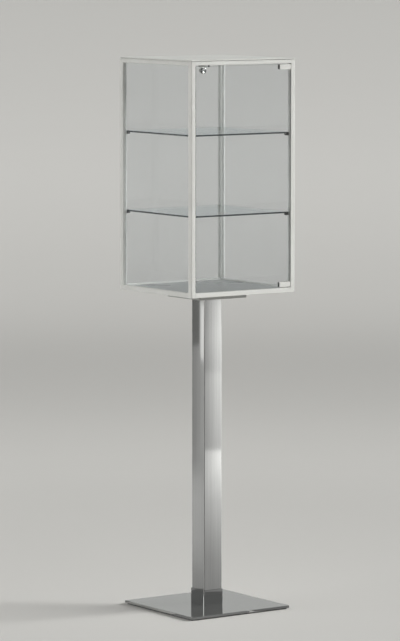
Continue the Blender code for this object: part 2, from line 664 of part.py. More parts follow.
def build_closing_side(finish):
    """The seal on the lock-side post, and the strike and bumper under the front top rail."""
    post_face = -HALF_WIDTH + POST_IN_X + GAP
    seal_height = TOP_RAIL_BOTTOM - BOTTOM_RAIL_TOP - 2 * GAP
    add_piece("door_seal", box((0, 0, 0), (SEAL_WIDTH, DOOR_THICKNESS, seal_height)),
              finish["seal_white"], (post_face, DOOR_FRONT, BOTTOM_RAIL_TOP + GAP))

    depth = STRIKE_BACK - STRIKE_FRONT
    bend = depth - STRIKE_SHEET
    outline = [(0, -STRIKE_SHEET), (bend, -STRIKE_SHEET), (bend, -STRIKE_DROP),
               (depth, -STRIKE_DROP), (depth, 0), (0, 0)]
    add_piece("strike_plate", prism(outline, 0, STRIKE_X[1] - STRIKE_X[0], "X"), finish["zinc_steel"],
              (STRIKE_X[0], STRIKE_FRONT, TOP_RAIL_BOTTOM - GAP))

    bumper = add_piece("door_bumper", chamfered_rod(BUMPER_RADIUS, -BUMPER_HEIGHT, 0, BUMPER_CHAMFER),
                       finish["black_plastic"], (BUMPER_X, BUMPER_Y, TOP_RAIL_BOTTOM - GAP))
    smooth(bumper)


# The lock. Its turning pieces hang from an empty on the lock's axis.

def cam_outline():
    """A hub at the origin and a smaller tip along +X, joined by their common tangents."""
    tip = CAM_REACH - CAM_TIP_RADIUS
    lean = math.asin((CAM_HUB_RADIUS - CAM_TIP_RADIUS) / tip)
    start = math.pi / 2 - lean
    hub_steps, tip_steps = 16, 8
    hub = [start + (2 * math.pi - 2 * start) * step / hub_steps for step in range(hub_steps + 1)]
    nose = [-start + 2 * start * step / tip_steps for step in range(tip_steps + 1)]
    return ([(CAM_HUB_RADIUS * math.cos(t), CAM_HUB_RADIUS * math.sin(t)) for t in hub]
            + [(tip + CAM_TIP_RADIUS * math.cos(t), CAM_TIP_RADIUS * math.sin(t)) for t in nose])


def build_lock(finish, pivot):
    place = (LOCK_X - PIVOT_X, 0, LOCK_Z - DOOR_BOTTOM)

    def depth(world_y):
        return world_y - PIVOT_Y

    flange = rod(LOCK_FLANGE_RADIUS, depth(-HALF_DEPTH), depth(DOOR_FRONT - GAP), "Y", steps=32)
    body = add_piece("lock_body", flange, finish["lock_chrome"], place, pivot)
    join(body, rod(LOCK_BARREL_RADIUS, depth(DOOR_FRONT - MM), depth(LOCK_BARREL_END), "Y"))
    cut(body, rod(PLUG_RADIUS + GAP, depth(-HALF_DEPTH - MM), depth(LOCK_BARREL_END + MM), "Y"))
    smooth(body)

    nut_front = depth(DOOR_BACK + GAP)
    nut_back = nut_front + LOCK_NUT_THICKNESS
    nut = add_piece("lock_nut", prism(hexagon(LOCK_NUT_CORNER), nut_front, nut_back, "Y"),
                    finish["zinc_steel"], place, pivot)
    cut(nut, rod(LOCK_BARREL_RADIUS + GAP, nut_front - MM, nut_back + MM, "Y"))

    turning = bpy.data.objects.new("lock_pivot", None)
    bpy.context.collection.objects.link(turning)
    turning.location = place
    turning.parent = pivot

    plug = add_piece("lock_plug", rod(PLUG_RADIUS, depth(PLUG_FRONT), depth(PLUG_END), "Y"),
                     finish["lock_chrome"], parent=turning)
    half = PLUG_SQUARE / 2
    join(plug, prism(square(PLUG_SQUARE), depth(PLUG_END - MM), depth(PLUG_SQUARE_END), "Y"))
    key_width, key_height, key_depth = KEY_SLOT
    cut(plug,
        prism(rectangle(-key_width / 2, -key_height / 2, key_width / 2, key_height / 2),
              depth(PLUG_FRONT) - MM, depth(PLUG_FRONT) + key_depth, "Y"),
        rod(CAM_SCREW_RADIUS + GAP, depth(PLUG_SQUARE_END) - CAM_SCREW_LENGTH - GAP,
            depth(PLUG_SQUARE_END) + MM, "Y", steps=12))
    smooth(plug)

    cam_front, cam_back = depth(CAM_FRONT), depth(CAM_FRONT) + CAM_THICKNESS
    cam = add_piece("lock_cam", prism(cam_outline(), cam_front, cam_back, "Y"),
                    finish["zinc_steel"], parent=turning)
    cut(cam, prism(square(PLUG_SQUARE + 2 * GAP), cam_front - MM, cam_back + MM, "Y"))

    head = cam_back + GAP
    screw = add_piece("cam_screw", rod(CAM_SCREW_HEAD_RADIUS, head, head + CAM_SCREW_HEAD_HEIGHT, "Y"),
                      finish["zinc_steel"], parent=turning)
    join(screw, rod(CAM_SCREW_RADIUS, depth(PLUG_SQUARE_END) - CAM_SCREW_LENGTH, head + MM, "Y", steps=12))
    smooth(screw)


def build_case():
    finish = {name: make_material(name) for name in FINISHES}
    build_stand(finish)
    build_head(finish)
    build_posts(finish)
    build_rails(finish)
    build_connectors(finish)
    build_floor_and_top(finish)
    build_panes(finish)
    build_shelves(finish)
    pivot = build_door(finish)
    build_hinge_pins(finish)
    build_closing_side(finish)
    build_lock(finish, pivot)
    bpy.context.view_layer.update()


build_case()
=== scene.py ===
"""The tower display case's finished surfaces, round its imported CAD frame.

Metres, +Z up. The door is the front and faces -Y, its hinges are at +X and its lock at -X.
Each piece takes its place and size from the CAD node that it stands for.
"""
import json
import math

import bmesh
import bpy
from mathutils import Matrix, Vector


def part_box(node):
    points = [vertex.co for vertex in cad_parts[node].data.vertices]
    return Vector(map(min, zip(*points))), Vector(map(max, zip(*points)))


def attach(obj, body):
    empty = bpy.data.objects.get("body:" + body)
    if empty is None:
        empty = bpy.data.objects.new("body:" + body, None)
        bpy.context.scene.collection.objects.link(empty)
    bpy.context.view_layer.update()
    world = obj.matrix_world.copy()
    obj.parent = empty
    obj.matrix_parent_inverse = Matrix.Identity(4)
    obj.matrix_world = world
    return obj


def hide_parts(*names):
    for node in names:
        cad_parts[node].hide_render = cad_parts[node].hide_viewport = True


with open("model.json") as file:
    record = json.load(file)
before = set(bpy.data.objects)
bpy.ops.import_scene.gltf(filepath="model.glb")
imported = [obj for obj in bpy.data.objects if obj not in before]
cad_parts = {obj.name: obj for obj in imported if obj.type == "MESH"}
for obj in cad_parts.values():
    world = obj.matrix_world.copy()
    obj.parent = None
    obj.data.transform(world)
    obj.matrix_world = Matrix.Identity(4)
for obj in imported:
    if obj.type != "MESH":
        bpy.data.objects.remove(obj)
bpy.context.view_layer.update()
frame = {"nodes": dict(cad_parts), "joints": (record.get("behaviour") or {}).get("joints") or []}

MM = 0.001
GAP = 0.3 * MM   # the CAD's clearance between pieces that touch
CORNERS = (("front_left", -1, -1), ("front_right", 1, -1), ("back_left", -1, 1), ("back_right", 1, 1))
LEVELS = ("bottom", "top")
SHELVES = ("lower", "upper")
JOINTS = {joint["name"]: joint for joint in frame["joints"]}

# Camera, as the reference view: it stands left of the front and looks slightly down
CAMERA_AZIMUTH = math.radians(-35.267)
CAMERA_DISTANCE = 11.98
CAMERA_HEIGHT = 2.163
CAMERA_PAN = 0.00184   # radians to the left of the object's axis
CAMERA_PITCH = 0.10291   # radians below the horizon
CAMERA_LENS = 211.6
CAMERA_SENSOR = 36.0

# Frame sections, in millimetres inwards from the case's outer corner
POST_IN = (15.0, 18.0)
POST_RADIUS = 3.0
SIDE_GROOVE = (5.2, 9.8)   # the groove for a side pane, inwards in X
BACK_GROOVE = (6.7, 11.3)   # the groove for the back pane, inwards in Y
POST_CHAMBER = (1.8, 1.8, 8.5, 11.3)   # low and high corner of the hollow
GROOVE_DEPTH = {"post": 5.0, "bottom": 5.0, "top": 4.3}
CUT_EASE = 0.15 * MM   # softens the sawn ends of posts and rails
LEDGE = (24.0, 3.0)   # reach and thickness of the lip under the floor panel
RAIL_RADIUS = 1.0

# Stand
COLUMN_RADIUS = 4.0 * MM
COLUMN_CROWN = 0.35 * MM   # how far the middle of a face stands out
COLUMN_WALL = 3.0 * MM
COLLAR_RADIUS = 3.5 * MM
PAN_SHEET = 4.0 * MM
BOLT_SEAT = ((12.1, -1), (12.1, 0), (6.3, 5.8), (6.3, 9), (0, 9), (0, -1))   # radius, height in mm

# Fittings, with the profiles in millimetres
CLAMP_SCREWS = (150.0 * MM, 161.0 * MM)   # places in X
CLAMP_SLOT_END = 168.0 * MM   # place in X where the slot for the door's glass stops
CLAMP_SCREW = ((0, -2.4), (2.6, -2.4), (2.6, -0.1), (2.3, 0), (0, 0))
SUPPORT_STUD = ((0, 0), (1.2, 0), (1.5, 0.3), (1.5, 5), (0, 5))
LOCK_FACE = ((4.3, 0.9), (5.3, 0.7), (6.4, 0.1), (7.2, 0), (7.9, 0.12), (8.6, 0.7), (9, 1.5),
             (9, 2.7), (7, 2.7))
CAM_SCREW_HEAD = ((3.4, 0), (3.4, 0.7), (2.72, 1.4), (1.53, 1.7), (0, 1.8))
THREAD_TURN = ((0, 0.15), (0, 0.35), (1, 0.6), (1, 0.9))   # shares of the depth and of the pitch
HEX_CHAMFER = 0.96   # a hexagon's chamfer circle over its inner radius


# ------------ outlines

def mm(*values):
    """Millimetres as metres."""
    return [value * MM for value in values]


def rectangle(low_a, low_b, high_a, high_b):
    return [(low_a, low_b), (high_a, low_b), (high_a, high_b), (low_a, high_b)]


def circle(radius, steps=32, centre=(0, 0)):
    turns = [2 * math.pi * step / steps for step in range(steps)]
    return [(centre[0] + radius * math.cos(t), centre[1] + radius * math.sin(t)) for t in turns]


def fillet(outline, radii, steps=4):
    """Round the corners of an outline. A radius of zero keeps its corner sharp."""
    if not hasattr(radii, "__len__"):
        radii = [radii] * len(outline)
    points = []
    for index, corner in enumerate(outline):
        radius = radii[index]
        if radius <= 0:
            points.append(tuple(corner))
            continue
        here = Vector(corner)
        to_before = (Vector(outline[index - 1]) - here).normalized()
        to_after = (Vector(outline[(index + 1) % len(outline)]) - here).normalized()
        half_angle = to_before.angle(to_after) / 2
        middle = here + (to_before + to_after).normalized() * radius / math.sin(half_angle)
        start = here + to_before * radius / math.tan(half_angle) - middle
        end = here + to_after * radius / math.tan(half_angle) - middle
        for step in range(steps + 1):
            spoke = start.lerp(end, step / steps)
            spoke = spoke.normalized() * radius if spoke.length else start
            points.append(tuple(middle + spoke))
    return points


def scaled(outline):
    """An outline in millimetres as one in metres."""
    return [mm(*point) for point in outline]


def square(side, radius, steps=5):
    half = side / 2
    return fillet(rectangle(-half, -half, half, half), radius, steps)


def crowned_square(side, radius, crown, steps=8, across=10):
    """A rounded square whose faces bow outwards a little, as a rolled tube's do."""
    half = side / 2
    flat = half - radius
    turns = [math.pi / 2 * step / steps for step in range(steps + 1)]
    quarter = [(flat + radius * math.cos(t), flat + radius * math.sin(t)) for t in turns]
    quarter += [(flat - 2 * flat * step / across, half) for step in range(1, across)]
    points = []
    for turn in range(4):
        c, s = math.cos(turn * math.pi / 2), math.sin(turn * math.pi / 2)
        for a, b in ((a * c - b * s, a * s + b * c) for a, b in quarter):
            limit_a, limit_b = (half - crown * min(1, abs(off) / half) ** 2 for off in (b, a))
            points.append((math.copysign(min(abs(a), limit_a), a), math.copysign(min(abs(b), limit_b), b)))
    return points


# ------------ solids

LIFT = {
    "Z": lambda a, b, c: (a, b, c),
    "Y": lambda a, b, c: (a, c, b),
    "X": lambda a, b, c: (c, a, b),
}


def band(solid, near, far, spans=None):
    """Quads between two rows of vertices. The rows close on themselves unless spans stops short."""
    for index in range(spans or len(near)):
        after = (index + 1) % len(near)
        solid.faces.new((near[index], near[after], far[after], far[index]))


def extrusion(outline, low, high, axis="Z", holes=()):
    """A prism with any number of holes through it."""
    solid = bmesh.new()
    rims = {low: [], high: []}
    for loop in (outline, *holes):
        rings = {}
        for height in (low, high):
            verts = [solid.verts.new(LIFT[axis](a, b, height)) for a, b in loop]
            rings[height] = verts
            for index, vert in enumerate(verts):
                rims[height].append(solid.edges.new((vert, verts[(index + 1) % len(verts)])))
        band(solid, rings[low], rings[high])
    if holes:
        for edges in rims.values():
            bmesh.ops.triangle_fill(solid, edges=edges, use_beauty=True)
    else:
        for height in (low, high):
            bmesh.ops.contextual_create(solid, geom=rims[height])
    bmesh.ops.recalc_face_normals(solid, faces=solid.faces)
    return solid


def loft(rings, caps=True, closed=False):
    """Skin a list of rings of 3-D points, all with the same number of points."""
    solid = bmesh.new()
    loops = [[solid.verts.new(point) for point in ring] for ring in rings]
    pairs = list(zip(loops, loops[1:]))
    if closed:
        pairs.append((loops[-1], loops[0]))
    for near, far in pairs:
        band(solid, near, far)
    if caps and not closed:
        solid.faces.new(loops[0])
        solid.faces.new(loops[-1])
    bmesh.ops.recalc_face_normals(solid, faces=solid.faces)
    return solid


def slab_rings(half_x, half_y, radius, profile, centre=(0, 0)):
    """Rings for loft: each (inset, height) of the profile is one rounded rectangle."""
    rings = []
    for inset, height in profile:
        a, b = half_x - inset, half_y - inset
        outline = fillet(rectangle(-a, -b, a, b), max(radius - inset, 0.2 * MM), 5)
        rings.append([(x + centre[0], y + centre[1], height) for x, y in outline])
    return rings


def eased(low, high, ease):
    """A slab's profile whose upper and lower edges are rounded by ease."""
    soft = [(1.0, 0.0), (0.55, 0.12), (0.22, 0.38), (0.0, 1.0)]
    under = [(ease * inset, low + ease * rise) for inset, rise in soft]
    over = [(ease * inset, high - ease * rise) for inset, rise in reversed(soft)]
    return under + over


def turned(profile, axis_at, axis="Y", steps=48, closed=True):
    """Turn a profile of (radius, position along the axis) points. Closed profiles make a ring."""
    solid = bmesh.new()
    grid = []
    for step in range(steps):
        turn = 2 * math.pi * step / steps
        row = []
        for radius, along in profile:
            x, y, z = LIFT[axis](radius * math.cos(turn), radius * math.sin(turn), along)
            row.append(solid.verts.new((x + axis_at[0], y + axis_at[1], z + axis_at[2])))
        grid.append(row)
    for step in range(steps):
        band(solid, grid[step], grid[(step + 1) % steps], len(profile) - (0 if closed else 1))
    bmesh.ops.remove_doubles(solid, verts=solid.verts, dist=MM / 1000)
    bmesh.ops.recalc_face_normals(solid, faces=solid.faces)
    return solid


def hex_ring(flat, grow, height, steps=48):
    """A ring of points: a whole hexagon where grow is 1, and its chamfer's circle where grow is 0."""
    circle_radius = HEX_CHAMFER * flat
    ring = []
    for step in range(steps):
        turn = 2 * math.pi * step / steps
        local = (turn + math.pi / 6) % (math.pi / 3) - math.pi / 6
        hex_radius = flat / math.cos(local)
        radius = circle_radius + (hex_radius - circle_radius) * grow
        ring.append((radius * math.cos(turn), radius * math.sin(turn), height))
    return ring


def moved(solid, offset):
    bmesh.ops.translate(solid, verts=solid.verts, vec=offset)
    return solid


def outer_corner(low, high, side_x, side_y):
    return (low.x if side_x < 0 else high.x, low.y if side_y < 0 else high.y)


def mirrored(solid, side_x, side_y):
    """Turn a solid built in inward distances from a corner to suit that corner of the case."""
    bmesh.ops.transform(solid, matrix=Matrix.Diagonal((-side_x, -side_y, 1, 1)), verts=solid.verts)
    if side_x * side_y < 0:
        bmesh.ops.reverse_faces(solid, faces=solid.faces)
    return solid


def placed(name, solid, *materials):
    """Make an object of a solid, which is used up."""
    mesh = bpy.data.meshes.new(name)
    solid.to_mesh(mesh)
    solid.free()
    for material in materials:
        mesh.materials.append(material)
    thing = bpy.data.objects.new(name, mesh)
    bpy.context.scene.collection.objects.link(thing)
    return thing


def combined(solid, tool, operation):
    """The Boolean of two solids as a new one."""
    things = [placed("scratch", part) for part in (solid, tool)]
    modifier = things[0].modifiers.new("combine", "BOOLEAN")
    modifier.operation = operation
    modifier.solver = "EXACT"
    modifier.object = things[1]
    evaluated = things[0].evaluated_get(bpy.context.evaluated_depsgraph_get())
    result = bmesh.new()
    result.from_mesh(evaluated.to_mesh())
    evaluated.to_mesh_clear()
    for thing in things:
        mesh = thing.data
        bpy.data.objects.remove(thing)
        bpy.data.meshes.remove(mesh)
    return result


# ------------ pieces

LARGE_FACE_WEIGHT = 80   # over 50, so that large faces keep their own normals beside small bends


def piece(name, solid, body, materials, replaces=(), ease=0.0, segments=2, angle=40):
    """Make an object of a solid, soften its sharp edges by ease, and tie it to its CAD body."""
    thing = placed(name, solid, *materials)
    thing.data.shade_smooth()
    thing.data.set_sharp_from_angle(angle=math.radians(angle))
    if ease:
        bevel = thing.modifiers.new("eased_edges", "BEVEL")
        bevel.width = ease
        bevel.segments = segments
        bevel.limit_method = "ANGLE"
        bevel.angle_limit = math.radians(angle)
        bevel.harden_normals = True
    flat = thing.modifiers.new("flat_faces", "WEIGHTED_NORMAL")
    flat.mode = "FACE_AREA"
    flat.weight = LARGE_FACE_WEIGHT
    flat.keep_sharp = True
    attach(thing, body)
    if replaces:
        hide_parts(*replaces)
    return thing


def keep(node, material):
    """Give a CAD node that stays its finish."""
    mesh = frame["nodes"][node].data
    mesh.materials.clear()
    mesh.materials.append(material)


def middle(node):
    low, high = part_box(node)
    return (low + high) / 2


# ------------ materials

HEAD_ON_MIRROR = 0.04   # the share of light that one glass face mirrors head on
STEEL = ((0.585, 0.590, 0.588), (0.655, 0.660, 0.655))
DULLED_STEEL = ((0.545, 0.550, 0.548), (0.615, 0.620, 0.615))
DARKER_STEEL = ((0.47, 0.475, 0.475), (0.53, 0.535, 0.535))


class NodeTree:
    """A node tree with a short way to fill it."""

    def __init__(self, owner):
        owner.use_nodes = True
        self.tree = owner.node_tree

    def add(self, kind, inputs=(), **settings):
        """Add a node. Each of its inputs, as (name or place, value), takes a plain value or a socket."""
        node = self.tree.nodes.new(kind)
        for key, value in settings.items():
            setattr(node, key, value)
        for key, value in inputs:
            if isinstance(value, bpy.types.NodeSocket):
                self.link(value, node.inputs[key])
            else:
                node.inputs[key].default_value = value
        return node

    def link(self, source, target):
        self.tree.links.new(source, target)


class Surface(NodeTree):
    """A material's node tree with a few short ways to fill it."""

    def __init__(self, name):
        self.material = bpy.data.materials.new(name)
        super().__init__(self.material)
        self.shader = self.tree.nodes["Principled BSDF"]
        self.output = self.tree.nodes["Material Output"].inputs["Surface"]
        self.place = self.add("ShaderNodeTexCoord").outputs["Object"]

    def set(self, **values):
        for key, value in values.items():
            self.shader.inputs[key.replace("_", " ")].default_value = value

    def noise(self, scale, detail=3.0, stretch=(1, 1, 1), rough=0.55):
        """Noise in object space. The scale is in features per metre, and stretch squeezes it."""
        mapping = self.add("ShaderNodeMapping", (("Vector", self.place), ("Scale", stretch)))
        texture = self.add("ShaderNodeTexNoise", (("Vector", mapping.outputs["Vector"]), ("Scale", scale),
                                                  ("Detail", detail), ("Roughness", rough)))
        return texture.outputs["Fac"]

    def range(self, value, low, high, start=0.3, end=0.7):
        node = self.add("ShaderNodeMapRange", (("Value", value), ("From Min", start), ("From Max", end),
                                               ("To Min", low), ("To Max", high)))
        return node.outputs["Result"]

    def blend(self, factor, low, high):
        low, high = ((*colour, 1.0) if isinstance(colour, tuple) else colour for colour in (low, high))
        return self.add("ShaderNodeMix", (("Factor", factor), (6, low), (7, high)),
                        data_type="RGBA").outputs[2]

    def clear_from_inside(self):
        """Let looks from within the solid out, as the bend of light into a glass sheet does."""
        inside = self.add("ShaderNodeNewGeometry").outputs["Backfacing"]
        clear = self.add("ShaderNodeBsdfTransparent").outputs[0]
        self.mix(inside, self.shader.outputs[0], clear)

    def mix(self, share, first, second):
        """Make the surface of two shaders, by the share that the second has."""
        mixed = self.add("ShaderNodeMixShader", (("Fac", share), (1, first), (2, second)))
        self.link(mixed.outputs[0], self.output)

    def colour(self, value):
        self.link(value, self.shader.inputs["Base Color"])

    def roughness(self, value):
        self.link(value, self.shader.inputs["Roughness"])

    def bump(self, height, distance, strength=1.0):
        node = self.add("ShaderNodeBump",
                        (("Height", height), ("Distance", distance), ("Strength", strength)))
        self.link(node.outputs["Normal"], self.shader.inputs["Normal"])


def powder_coat():
    """Satin off-white coating on aluminium: faint orange peel, cloudy gloss and tiny specks."""
    s = Surface("frame_white")
    cloud = s.range(s.noise(14, 4), 0, 1)
    base = s.blend(cloud, (0.765, 0.763, 0.742), (0.815, 0.813, 0.795))
    speck = s.range(s.noise(1400, 2), 0, 1, 0.70, 0.78)
    s.colour(s.blend(speck, base, (0.62, 0.61, 0.59)))
    s.roughness(s.range(s.noise(60, 4), 0.34, 0.46))
    s.bump(s.noise(900, 2), 0.03 * MM, 0.6)
    return s.material


def polished_tube(name, dark, light):
    """Polished stainless steel with fine lines along the tube."""
    s = Surface(name)
    lines = s.noise(700, 3, (1, 1, 0.004))
    cloud = s.noise(5, 3)
    s.colour(s.blend(s.range(lines, 0, 1), dark, light))
    s.roughness(s.range(cloud, 0.03, 0.055))
    s.set(Metallic=1.0)
    s.bump(lines, 0.002 * MM, 0.5)
    return s.material


def polished_plate():
    """Polished stainless plate with a faint grain across it and dulled patches."""
    s = Surface("polished_plate")
    grain = s.noise(900, 3, (1, 0.006, 1))
    s.colour(s.blend(s.range(grain, 0, 1), *DULLED_STEEL))
    s.roughness(s.range(s.noise(9, 5), 0.06, 0.11))
    s.set(Metallic=0.93)
    s.bump(grain, 0.002 * MM, 0.4)
    return s.material


def grey_steel(name, dark, light, rough=(0.30, 0.42), scale=500, metallic=1.0):
    """Plain or plated steel with a cloudy tone and a fine rolled grain."""
    s = Surface(name)
    s.colour(s.blend(s.range(s.noise(45, 5), 0, 1), dark, light))
    s.roughness(s.range(s.noise(160, 4), *rough))
    s.set(Metallic=metallic)
    s.bump(s.noise(scale, 3, (1, 0.1, 1)), 0.008 * MM, 0.5)
    return s.material


def chrome():
    """Bright chrome plating with hairline scratches."""
    s = Surface("lock_chrome")
    scratches = s.noise(2600, 2, (1, 1, 0.05))
    s.colour(s.blend(s.range(scratches, 0, 1), (0.50, 0.51, 0.52), (0.62, 0.63, 0.64)))
    s.roughness(s.range(s.noise(300, 4), 0.06, 0.16))
    s.set(Metallic=1.0)
    s.bump(scratches, 0.002 * MM, 0.4)
    return s.material


def moulded(name, dark, light, rough=(0.42, 0.55), grain=1800):
    """Moulded plastic or rubber with a fine spark-eroded grain."""
    s = Surface(name)
    s.colour(s.blend(s.range(s.noise(120, 4), 0, 1), dark, light))
    s.roughness(s.range(s.noise(400, 3), *rough))
    s.bump(s.noise(grain, 2), 0.02 * MM, 0.7)
    return s.material


def floor_board():
    """The grey laminate of the case's floor: a very fine fleck under a satin face."""
    s = Surface("floor_grey")
    fleck = s.range(s.noise(2400, 2), 0, 1, 0.35, 0.65)
    tone = s.blend(fleck, (0.318, 0.327, 0.329), (0.342, 0.350, 0.350))
    s.colour(s.blend(s.range(s.noise(4, 1), 0, 0.3), tone, (0.365, 0.372, 0.372)))
    s.roughness(s.range(s.noise(6, 1), 0.27, 0.30))
    s.bump(s.noise(1500, 2), 0.002 * MM, 0.3)
    return s.material


def see_through(name, passes, dull):
    """Clear glass as thin sheets show it: straight through, with a mirror that grows at low angles."""
    s = Surface(name)
    s.tree.nodes.remove(s.shader)
    facing = s.add("ShaderNodeLayerWeight", (("Blend", 0.5),)).outputs["Facing"]
    steep = s.add("ShaderNodeMath", ((0, facing), (1, 5.0)), operation="POWER").outputs[0]
    share = s.add("ShaderNodeMath", ((0, steep), (1, 1.0 - HEAD_ON_MIRROR), (2, HEAD_ON_MIRROR)),
                  operation="MULTIPLY_ADD").outputs[0]
    smear = s.range(s.noise(7, 4, (1, 1, 0.6)), 0, 1)
    clear = s.add("ShaderNodeBsdfTransparent", (("Color", s.blend(smear, *passes)),)).outputs[0]
    rough = s.range(s.noise(25, 4), *dull)
    mirror = s.add("ShaderNodeBsdfGlossy", (("Color", (0.95, 0.97, 0.97, 1)), ("Roughness", rough)))
    s.mix(share, clear, mirror.outputs[0])
    return s.material


def glass_rim_painted_shade():
    """The ground and polished rim of a glass sheet: deep blue-green with soft streaks. The blue-green is the
    glass's own tint, and its depth is painted shade for the light that the rim bends away.
    """
    s = Surface("glass_rim_painted_shade")
    streaks = s.noise(55, 4, (1, 1, 1), 0.65)
    # painted shade: the glass's own tint, darkened for the light that the rim bends away
    s.colour(s.blend(s.range(streaks, 0, 1, 0.35, 0.68), (0.010, 0.016, 0.019), (0.036, 0.052, 0.058)))
    s.roughness(s.range(s.noise(300, 3), 0.10, 0.22))
    s.set(IOR=1.52)
    s.bump(s.noise(1500, 2), 0.004 * MM, 0.5)
    s.clear_from_inside()
    return s.material


def seal_plastic():
    """Soft, slightly cloudy off-white sealing strip."""
    s = Surface("seal_white")
    s.colour(s.blend(s.range(s.noise(90, 3), 0, 1), (0.71, 0.71, 0.69), (0.78, 0.78, 0.76)))
    s.roughness(s.range(s.noise(250, 3), 0.45, 0.60))
    s.bump(s.noise(1200, 2), 0.01 * MM, 0.5)
    return s.material


WHITE = powder_coat()
TUBE = polished_tube("polished_tube", *STEEL)
SLEEVE = polished_tube("polished_sleeve", *DARKER_STEEL)
PLATE = polished_plate()
DARK_STEEL = grey_steel("dark_steel", (0.20, 0.20, 0.195), (0.27, 0.27, 0.262))
PAN_PAINT = grey_steel("pan_paint", (0.40, 0.40, 0.385), (0.46, 0.46, 0.445), (0.35, 0.48), 1200, 0.35)
ZINC = grey_steel("zinc_steel", (0.56, 0.56, 0.54), (0.68, 0.68, 0.66))
CHROME = chrome()
BLACK = moulded("black_plastic", (0.018, 0.018, 0.019), (0.032, 0.032, 0.033))
NYLON = moulded("grey_nylon", (0.31, 0.31, 0.30), (0.38, 0.38, 0.37))
RUBBER = moulded("pad_rubber", (0.040, 0.040, 0.040), (0.060, 0.060, 0.058), (0.70, 0.85), 900)
FLOOR_BOARD = floor_board()
GLASS = see_through("clear_glass", ((0.9548, 0.9606, 0.9648), (0.9608, 0.9666, 0.9708)), (0.0, 0.006))
RIM = glass_rim_painted_shade()
SEAL = seal_plastic()


# ------------ the frame

def make_posts():
    """Four extruded posts with their pane grooves and hollow."""
    deep = GROOVE_DEPTH["post"]
    in_x, in_y = POST_IN
    side_low, side_high = SIDE_GROOVE
    back_low, back_high = BACK_GROOVE
    for corner, side_x, side_y in CORNERS:
        outline = [(0, 0), (in_x, 0)]
        radii = [POST_RADIUS, 0.4]
        if side_y > 0:
            outline += [(in_x, back_low), (in_x - deep, back_low),
                        (in_x - deep, back_high), (in_x, back_high)]
            radii += [0.2, 0, 0, 0.2]
        outline += [(in_x, in_y), (side_high, in_y), (side_high, in_y - deep),
                    (side_low, in_y - deep), (side_low, in_y), (0, in_y)]
        radii += [0.4, 0.2, 0, 0, 0.2, 0.3]
        chamber = fillet(rectangle(*POST_CHAMBER), 0.5, 2)
        low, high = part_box(f"post_{corner}")
        solid = extrusion(scaled(fillet(outline, radii, 5)), low.z, high.z, holes=[scaled(chamber)])
        outer = (*outer_corner(low, high, side_x, side_y), 0)
        piece(f"{corner}_post", moved(mirrored(solid, side_x, side_y), outer), "cabinet",
              [WHITE], [f"post_{corner}"], CUT_EASE)


def rail_section(height, depth, groove, level, lip):
    """A rail's outline as (distance inwards, height), from sizes in millimetres."""
    cut, cut_radii = [], []
    if groove:
        mouth = GROOVE_DEPTH[level]
        floor = height - mouth if level == "bottom" else mouth
        face = height if level == "bottom" else 0
        cut = [(groove[0], face), (groove[0], floor), (groove[1], floor), (groove[1], face)]
        cut_radii = [0.2, 0, 0, 0.2]
    outline, radii = [(0, 0)], [RAIL_RADIUS]
    if level == "top":
        outline += cut
        radii += cut_radii
    if lip:
        outline += [(LEDGE[0], 0), LEDGE, (depth, LEDGE[1])]
        radii += [0.5, 0.5, 0]
    else:
        outline += [(depth, 0)]
        radii += [0.4]
    outline += [(depth, height)]
    radii += [0.4]
    if level == "bottom":
        outline += reversed(cut)
        radii += cut_radii
    return scaled(fillet(outline + [(0, height)], radii + [RAIL_RADIUS], 4))


def make_rails():
    for level in LEVELS:
        for side, axis, sign in (("front", "X", -1), ("back", "X", 1), ("left", "Y", -1), ("right", "Y", 1)):
            node = f"rail_{side}_{level}"
            low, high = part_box(node)
            across = axis == "X"
            depth = POST_IN[1] if across else POST_IN[0]
            groove = None if side == "front" else BACK_GROOVE if side == "back" else SIDE_GROOVE
            section = rail_section((high.z - low.z) / MM, depth, groove, level, across and level == "bottom")
            span = (low.x, high.x) if across else (low.y, high.y)
            solid = extrusion(section, *span, axis)
            if across:
                solid = moved(mirrored(solid, -1, sign), (0, low.y if sign < 0 else high.y, low.z))
            else:
                solid = moved(mirrored(solid, sign, -1), (low.x if sign < 0 else high.x, 0, low.z))
            piece(f"{side}_rail_{level}", solid, "cabinet", [WHITE], [node], CUT_EASE)


def make_top_and_floor():
    low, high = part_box("top_panel")
    radius, sheet, ease, step_in = mm(3, 2.4, 0.7, 4)
    under = high.z - sheet
    profile = [(step_in, low.z), (step_in, under), (ease, under), (0.2 * ease, under + 0.2 * ease)]
    profile += eased(under, high.z, ease)[3:]
    solid = loft(slab_rings(high.x, high.y, radius, profile))
    piece("top_sheet", solid, "cabinet", [WHITE], ["top_panel"])

    low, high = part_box("floor_panel")
    radius, ease = mm(1, 0.5)
    solid = loft(slab_rings(high.x, high.y, radius, eased(low.z, high.z, ease)))
    piece("floor_board", solid, "cabinet", [FLOOR_BOARD], ["floor_panel"])


# ------------ the stand

def make_base():
    """The rubber pad, and the plate with its recess for the base bolt."""
    low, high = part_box("base_pad")
    radius, hole_radius, ease = mm(2, 15, 0.3)
    pad = extrusion(square(high.x - low.x, radius), low.z, high.z, holes=[circle(hole_radius)])
    piece("floor_pad", pad, "cabinet", [RUBBER], ["base_pad"], ease)

    low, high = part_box("base_plate")
    radius, ease = mm(1.6, 0.7)
    plate = loft(slab_rings(high.x, high.y, radius, eased(low.z, high.z, ease)))
    plate = combined(plate, turned(scaled(BOLT_SEAT), (0, 0, low.z), "Z"), "DIFFERENCE")
    piece("ground_plate", plate, "cabinet", [PLATE], ["base_plate"], angle=50)


